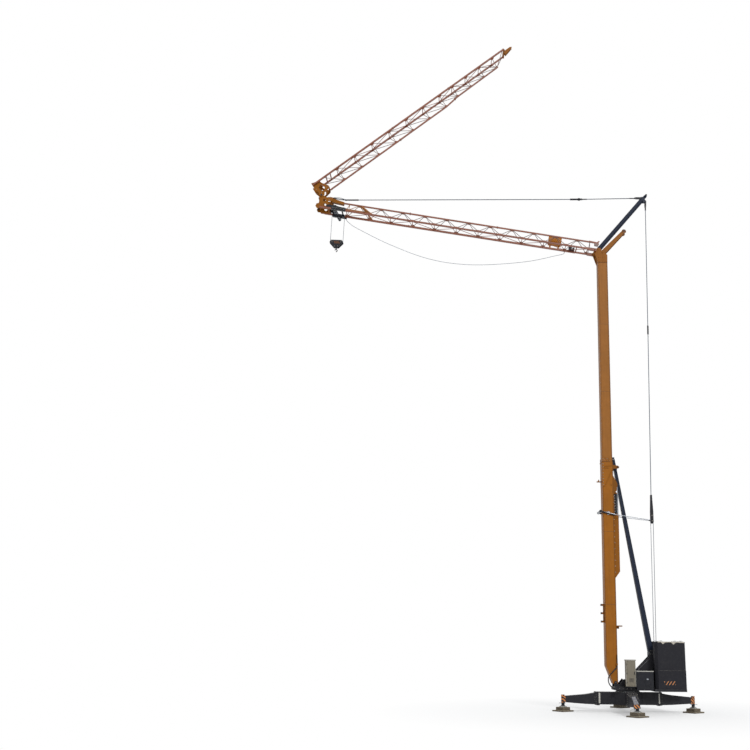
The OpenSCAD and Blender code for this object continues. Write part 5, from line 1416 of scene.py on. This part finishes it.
class CRANE_OT_jib(CraneOperator, bpy.types.Operator):
    """Add gussets at the nodes of the jib, splices in its chords and the fittings at its root"""

    bl_idname = "crane.jib"
    bl_label = "Jib"

    def execute(self, context):
        gussets, bolts = bmesh.new(), bmesh.new()
        for k in range(12):
            s = 0.38 + 1.2 * k
            for side in (-1, 1):
                self.gusset(gussets, JIB, s, side * 0.342, 0.03, 0.16)
            if k < 11:
                self.top_gusset(gussets, JIB, s + 0.6, 0.58)
        for k in (4, 8):
            self.splice(gussets, bolts, JIB, 0.38 + 1.2 * k + 0.22, 0.35, 0.58)
        piece("jib_gussets", gussets, "jib", "upperworks", bevel=0.0015)
        piece("jib_bolts", bolts, "bolt", "upperworks", bevel=0.001)
        self.outer()
        self.root()
        return {"FINISHED"}

    def outer(self):
        gussets, bolts = bmesh.new(), bmesh.new()
        posts = [0.4 + 1.215 * k for k in range(8)] + [9.845 + 1.0 * k for k in range(4)]
        for i, s in enumerate(posts[1:]):
            for side in (-1, 1):
                self.gusset(gussets, OUTER, s, side * 0.352, 0.03, 0.16)
            self.top_gusset(gussets, OUTER, s, self.outer_top(s))
        self.splice(gussets, bolts, OUTER, 5.55, 0.36, 0.65)
        self.splice(gussets, bolts, OUTER, 9.60, 0.36, self.outer_top(9.60))
        piece("outer_jib_gussets", gussets, "jib", "outer_jib", bevel=0.0015)
        piece("outer_jib_bolts", bolts, "bolt", "outer_jib", bevel=0.001)

    def outer_top(self, s):
        bend, low = 8.905, 9.845
        if s <= bend:
            return 0.65
        if s <= low:
            return 0.65 - 0.105 * (s - bend) / (low - bend)
        return 0.545 - 0.04 * (s - low) / 3

    def gusset(self, bm, place, s, y, low, half):
        """A plate at a node of a bottom chord, leaning with the bracing."""
        lean = Matrix.Translation((0, y, low)) @ Matrix.Rotation(math.atan2(y, 0.58), 4, "X")
        plate(bm, [(-s - half, 0), (-s + half, 0), (-s + half * 0.35, 0.085), (-s - half * 0.35, 0.085)],
              -0.005, 0.005, place @ lean)

    def top_gusset(self, bm, place, s, up):
        """A plate under a top chord at one of its nodes."""
        plate(bm, [(-s - 0.11, up - 0.03), (-s + 0.11, up - 0.03), (-s + 0.05, up - 0.105),
                   (-s - 0.05, up - 0.105)], -0.006, 0.006, place)

    def splice(self, gussets, bolts, place, s, y, up):
        """Bolted flanges of a joint between two lengths of the jib."""
        for middle_y, n, half in ((-y, 0, 0.056), (y, 0, 0.056), (0, up, 0.050)):
            for x in (-s - 0.013, -s + 0.013):
                foot = n - 0.058 if n else -0.052
                box(gussets, (x - 0.009, middle_y - half, foot),
                    (x + 0.009, middle_y + half, n + 0.058), place)
            for a in (-1, 1):
                for b in (-1, 1):
                    at = (-s + 0.022, middle_y + a * (half - 0.010), n + b * 0.049 if n else 0.044 * b + 0.003)
                    if n or b > 0:
                        bolt(bolts, at, (1, 0, 0), 0.008, place)
                        bolt(bolts, (-s - 0.022, at[1], at[2]), (-1, 0, 0), 0.008, place)

    def root(self):
        """Rims of the trolley winch, the box's door and the plates at the root."""
        dark, light, seams = bmesh.new(), bmesh.new(), bmesh.new()
        for y in (0.118, 0.28):
            ring(light, (-1.29, y, 0.125), (0, 1, 0), 0.088, 0.008, sides=32, matrix=JIB)
        for y in row((0, 0.135, 0), (0, 0.265, 0), 8):
            ring(light, (-1.29, y.y, 0.125), (0, 1, 0), 0.085, 0.007, sides=28, matrix=JIB)
        for y in row((0, 0.125, 0), (0, 0.268, 0), 6):
            box(dark, (-1.172, y.y - 0.004, 0.05), (-1.058, y.y + 0.004, 0.156), JIB)
        face = 0.26
        for a, b in ((-2.50, -2.20), (-2.14, -1.84)):
            box(seams, (a, face - 0.006, 0.245), (b, face + 0.003, 0.705), JIB)
        for n in (0.205, 0.745):
            rod(seams, (-2.53, face, n), (-1.81, face, n), 0.010, 8, matrix=JIB)
        for side in (-1, 1):
            for at in row((-0.30, side * 0.388, 0.045), (-0.10, side * 0.388, 0.045), 3):
                bolt(dark, at, (0, side, 0), 0.012, JIB)
        piece("trolley_winch_rope", light, "rope_plain", "upperworks")
        piece("trolley_winch_fins", dark, "dark", "upperworks", bevel=0.001)
        piece("jib_box_doors", seams, "boxed", "upperworks", bevel=0.003)


class CRANE_OT_knuckle(CraneOperator, bpy.types.Operator):
    """Dress the fold between the two jibs and its tie bars"""

    bl_idname = "crane.knuckle"
    bl_label = "Fold of the jib"

    def execute(self, context):
        pivot = -PIVOT_ALONG
        seams, bolts, dark = bmesh.new(), bmesh.new(), bmesh.new()
        for side in (-1, 1):
            face = side * 0.2655
            ring(seams, (pivot + 0.28, face, 0.19), (0, 1, 0), 0.092, 0.007, sides=36, matrix=JIB)
            ring(seams, (pivot + 0.21, face, 0.47), (0, 1, 0), 0.079, 0.007, sides=36, matrix=JIB)
            for x, n in ((0.14, 0.0), (0.42, 0.0), (0.53, 0.0), (0.46, 0.55), (0.52, 0.66)):
                bolt(bolts, (pivot + x, face, n), (0, side, 0), 0.014, JIB)
            across(dark, pivot, PIVOT_UP, 0.050, side * 0.324 - 0.007, side * 0.324 + 0.007, 28, JIB)
            for i in range(6):
                turn = math.radians(60 * i)
                bolt(bolts, (pivot + 0.034 * math.cos(turn), side * 0.331, PIVOT_UP + 0.034 * math.sin(turn)),
                     (0, side, 0), 0.006, JIB)
            self.strap(dark, side)
            plate(dark, [(pivot + 0.34, 0.19), (pivot + 0.42, 0.11), (pivot + 0.56, 0.05), (pivot + 0.74, 0.04),
                         (pivot + 0.80, 0.22), (pivot + 0.50, 0.26)], side * 0.278 - 0.011, side * 0.278 + 0.011, JIB)
        across(dark, pivot - 0.085, 0.56, 0.050, -0.24, 0.24, 24, JIB)
        across(dark, pivot - 0.105, 0.12, 0.045, -0.24, 0.24, 24, JIB)
        for x, n in ((0.79, 0.30), (1.27, 0.23)):
            for y in (-0.034, 0.034):
                ring(dark, (pivot + x, y, n), (0, 1, 0), 0.096, 0.008, sides=36, matrix=JIB)
        piece("fold_seams", seams, "seam", "upperworks")
        piece("fold_bolts", bolts, "bolt", "upperworks", bevel=0.001)
        piece("fold_dark_fittings", dark, "dark", "upperworks", bevel=0.001)
        self.cheeks()
        return {"FINISHED"}

    def strap(self, bm, side):
        """Bent strap that keeps the link of the tie bar clear of the fork."""
        a = Vector((-PIVOT_ALONG + 0.62, side * 0.062, 0.80))
        b = Vector((-PIVOT_ALONG + 1.24, side * 0.062, 0.80))
        points = [a.lerp(b, t / 6) + Vector((0, 0, 0.05 * math.sin(math.pi * t / 6))) for t in range(7)]
        for c, d in zip(points, points[1:]):
            rod(bm, c, d, 0.011, 8, matrix=JIB)

    def cheeks(self):
        """Bolts and weld beads of the outer jib's cheeks, and the plate at its tip."""
        seams, bolts = bmesh.new(), bmesh.new()
        for side in (-1, 1):
            face = side * 0.2975
            for x, n in ((-0.60, 0.50), (-0.60, 0.58), (-0.50, 0.52), (-0.28, 0.03), (-0.05, -0.08), (-0.38, 0.06),
                         (0.02, 0.30), (-0.08, 0.62)):
                bolt(bolts, (x, face, n), (0, side, 0), 0.014, OUTER)
            rod(seams, (-0.33, face, -0.035), (-0.03, face, -0.135), 0.008, 6, matrix=OUTER)
            rim = [(-0.150, 0.30), (-0.35, 0.20), (-0.42, 0.29), (-0.43, 0.48), (-0.33, 0.59), (-0.17, 0.57)]
            for a, b in zip(rim, rim[1:] + rim[:1]):
                rod(seams, (a[0], face, a[1]), (b[0], face, b[1]), 0.010, 8, matrix=OUTER)
            rod(seams, (-0.47, face, 0.20), (-0.62, face, 0.47), 0.008, 6, matrix=OUTER)
        tip = -13.745
        for y in (-0.34, -0.12, 0.12, 0.34):
            for n in (-0.02, 0.065):
                bolt(bolts, (tip - 0.03, y, n), (-1, 0, 0), 0.010, OUTER)
        piece("cheek_seams", seams, "seam", "outer_jib")
        piece("cheek_bolts", bolts, "bolt", "outer_jib", bevel=0.001)


# Trolley and hook

class CRANE_OT_trolley(CraneOperator, bpy.types.Operator):
    """Dress the trolley's wheels and sheaves, the hook block and the hook"""

    bl_idname = "crane.trolley"
    bl_label = "Trolley and hook"

    def execute(self, context):
        dark, steel = bmesh.new(), bmesh.new()
        for side in (-1, 1):
            for x in (-0.29, 0.29):
                at = Vector((TROLLEY_ALONG + x, side * 0.4255, 0.0153))
                ring(steel, at, (0, 1, 0), 0.050, 0.005, sides=28, matrix=JIB)
                bolt(steel, (at.x, side * 0.450, at.z), (0, side, 0), 0.014, JIB)
            for x in (-0.34, -0.17, 0.0, 0.17, 0.34):
                bolt(dark, (TROLLEY_ALONG + x, side * 0.442, -0.085), (0, side, 0), 0.011, JIB)
            for n in (-0.112, 0.052):
                rod(dark, (TROLLEY_ALONG - 0.37, side * 0.443, n),
                    (TROLLEY_ALONG + 0.37, side * 0.443, n), 0.006, 6, matrix=JIB)
        low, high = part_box("hoist_falls")
        for x in (low[0] + 0.011 + 0.086, high[0] - 0.011 - 0.086):
            for y in (-0.031, 0.031):
                ring(steel, (x, y, high[2]), (0, 1, 0), 0.073, 0.007, sides=32)
        self.lever()
        piece("trolley_steel", steel, "steel", "trolley", bevel=0.0008)
        piece("trolley_bolts", dark, "bolt", "trolley", bevel=0.0008)
        self.block()
        return {"FINISHED"}

    def lever(self):
        """Ribs and bolts of the lever across the trolley."""
        a, b = Vector((-14.145, -0.437, -0.155)), Vector((-13.98, 0.437, -0.225))
        way = (b - a).normalized()
        out = way.cross(Vector((0, 0, 1))).normalized()
        bm = bmesh.new()
        for side in (-1, 1):
            rod(bm, a + way * 0.02 + out * side * 0.075,
                b - way * 0.02 + out * side * 0.075, 0.014, 8, matrix=JIB)
        for t in (0.06, 0.28, 0.5, 0.72, 0.94):
            at = a.lerp(b, t)
            rod(bm, at - out * 0.075, at + out * 0.075, 0.010, 8, matrix=JIB)
        across(bm, b.x + 0.01, b.z + 0.01, 0.075, b.y + 0.006, b.y + 0.022, 28, JIB)
        piece("trolley_lever_ribs", bm, "galvanised", "trolley", bevel=0.001)

    def block(self):
        """Bars and bolts on the hook block's cheeks, and the hook's nut and latch."""
        low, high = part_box("hook_block")
        x = (low[0] + high[0]) / 2
        bars, bolts, steel = bmesh.new(), bmesh.new(), bmesh.new()
        for side in (-1, 1):
            face = side * 0.0955
            for i in range(4):
                a = x - 0.15 + 0.075 * i
                plate(bars, [(a, high[2] - 0.07), (a + 0.034, high[2] - 0.07), (a + 0.115, high[2] - 0.215),
                             (a + 0.081, high[2] - 0.215)], face - 0.002, face + 0.002)
            for bx, bz in ((-0.235, -0.12), (0.235, -0.12), (-0.09, -0.37), (0.09, -0.37),
                           (-0.26, -0.04), (0.26, -0.04)):
                bolt(bolts, (x + bx, face - side * 0.001, high[2] + bz), (0, side, 0), 0.014)
        piece("hook_block_bars", bars, "stripe_dull", "hook", bevel=0.0005)
        piece("hook_block_bolts", bolts, "bolt", "hook", bevel=0.001)
        low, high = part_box("hook")
        rod(steel, (x, 0, high[2] - 0.06), (x, 0, high[2] - 0.012), 0.045, 6)
        rod(steel, (x + 0.005, 0, high[2] - 0.085), (x + 0.055, 0, low[2] + 0.085), 0.006, 8)
        piece("hook_nut", steel, "hook", "hook", bevel=0.001)


OPERATORS = [CRANE_OT_stage, CRANE_OT_paints, CRANE_OT_cords, CRANE_OT_chassis, CRANE_OT_slewing_ring,
             CRANE_OT_jacks, CRANE_OT_boards, CRANE_OT_deck, CRANE_OT_cabinet, CRANE_OT_machinery,
             CRANE_OT_ballast, CRANE_OT_mast, CRANE_OT_struts, CRANE_OT_head, CRANE_OT_jib,
             CRANE_OT_knuckle, CRANE_OT_trolley]
CLASSES = [CraneColours, CraneSizes, CraneStage, *OPERATORS]

STEPS = [bpy.ops.crane.stage, bpy.ops.crane.paints, bpy.ops.crane.cords, bpy.ops.crane.chassis,
         bpy.ops.crane.slewing_ring, bpy.ops.crane.jacks, bpy.ops.crane.boards, bpy.ops.crane.deck,
         bpy.ops.crane.cabinet, bpy.ops.crane.machinery, bpy.ops.crane.ballast, bpy.ops.crane.mast,
         bpy.ops.crane.struts, bpy.ops.crane.head, bpy.ops.crane.jib, bpy.ops.crane.knuckle,
         bpy.ops.crane.trolley]


class CRANE_PT_panel(bpy.types.Panel):
    """Crane pieces and their settings"""

    bl_label = "Crane"
    bl_idname = "CRANE_PT_panel"
    bl_space_type = "VIEW_3D"
    bl_region_type = "UI"
    bl_category = "Crane"

    def draw(self, context):
        layout = self.layout
        for made in OPERATORS:
            layout.operator(made.bl_idname)
        for group in (context.scene.crane_colours, context.scene.crane_sizes, context.scene.crane_stage):
            for name in group.__annotations__:
                layout.prop(group, name)


def register():
    for made in [*CLASSES, CRANE_PT_panel]:
        bpy.utils.register_class(made)
    bpy.types.Scene.crane_colours = PointerProperty(type=CraneColours)
    bpy.types.Scene.crane_sizes = PointerProperty(type=CraneSizes)
    bpy.types.Scene.crane_stage = PointerProperty(type=CraneStage)


def unregister():
    del bpy.types.Scene.crane_colours
    del bpy.types.Scene.crane_sizes
    del bpy.types.Scene.crane_stage
    for made in reversed([*CLASSES, CRANE_PT_panel]):
        bpy.utils.unregister_class(made)


def main():
    register()
    for step in STEPS:
        step()


if __name__ == "__main__":
    main()
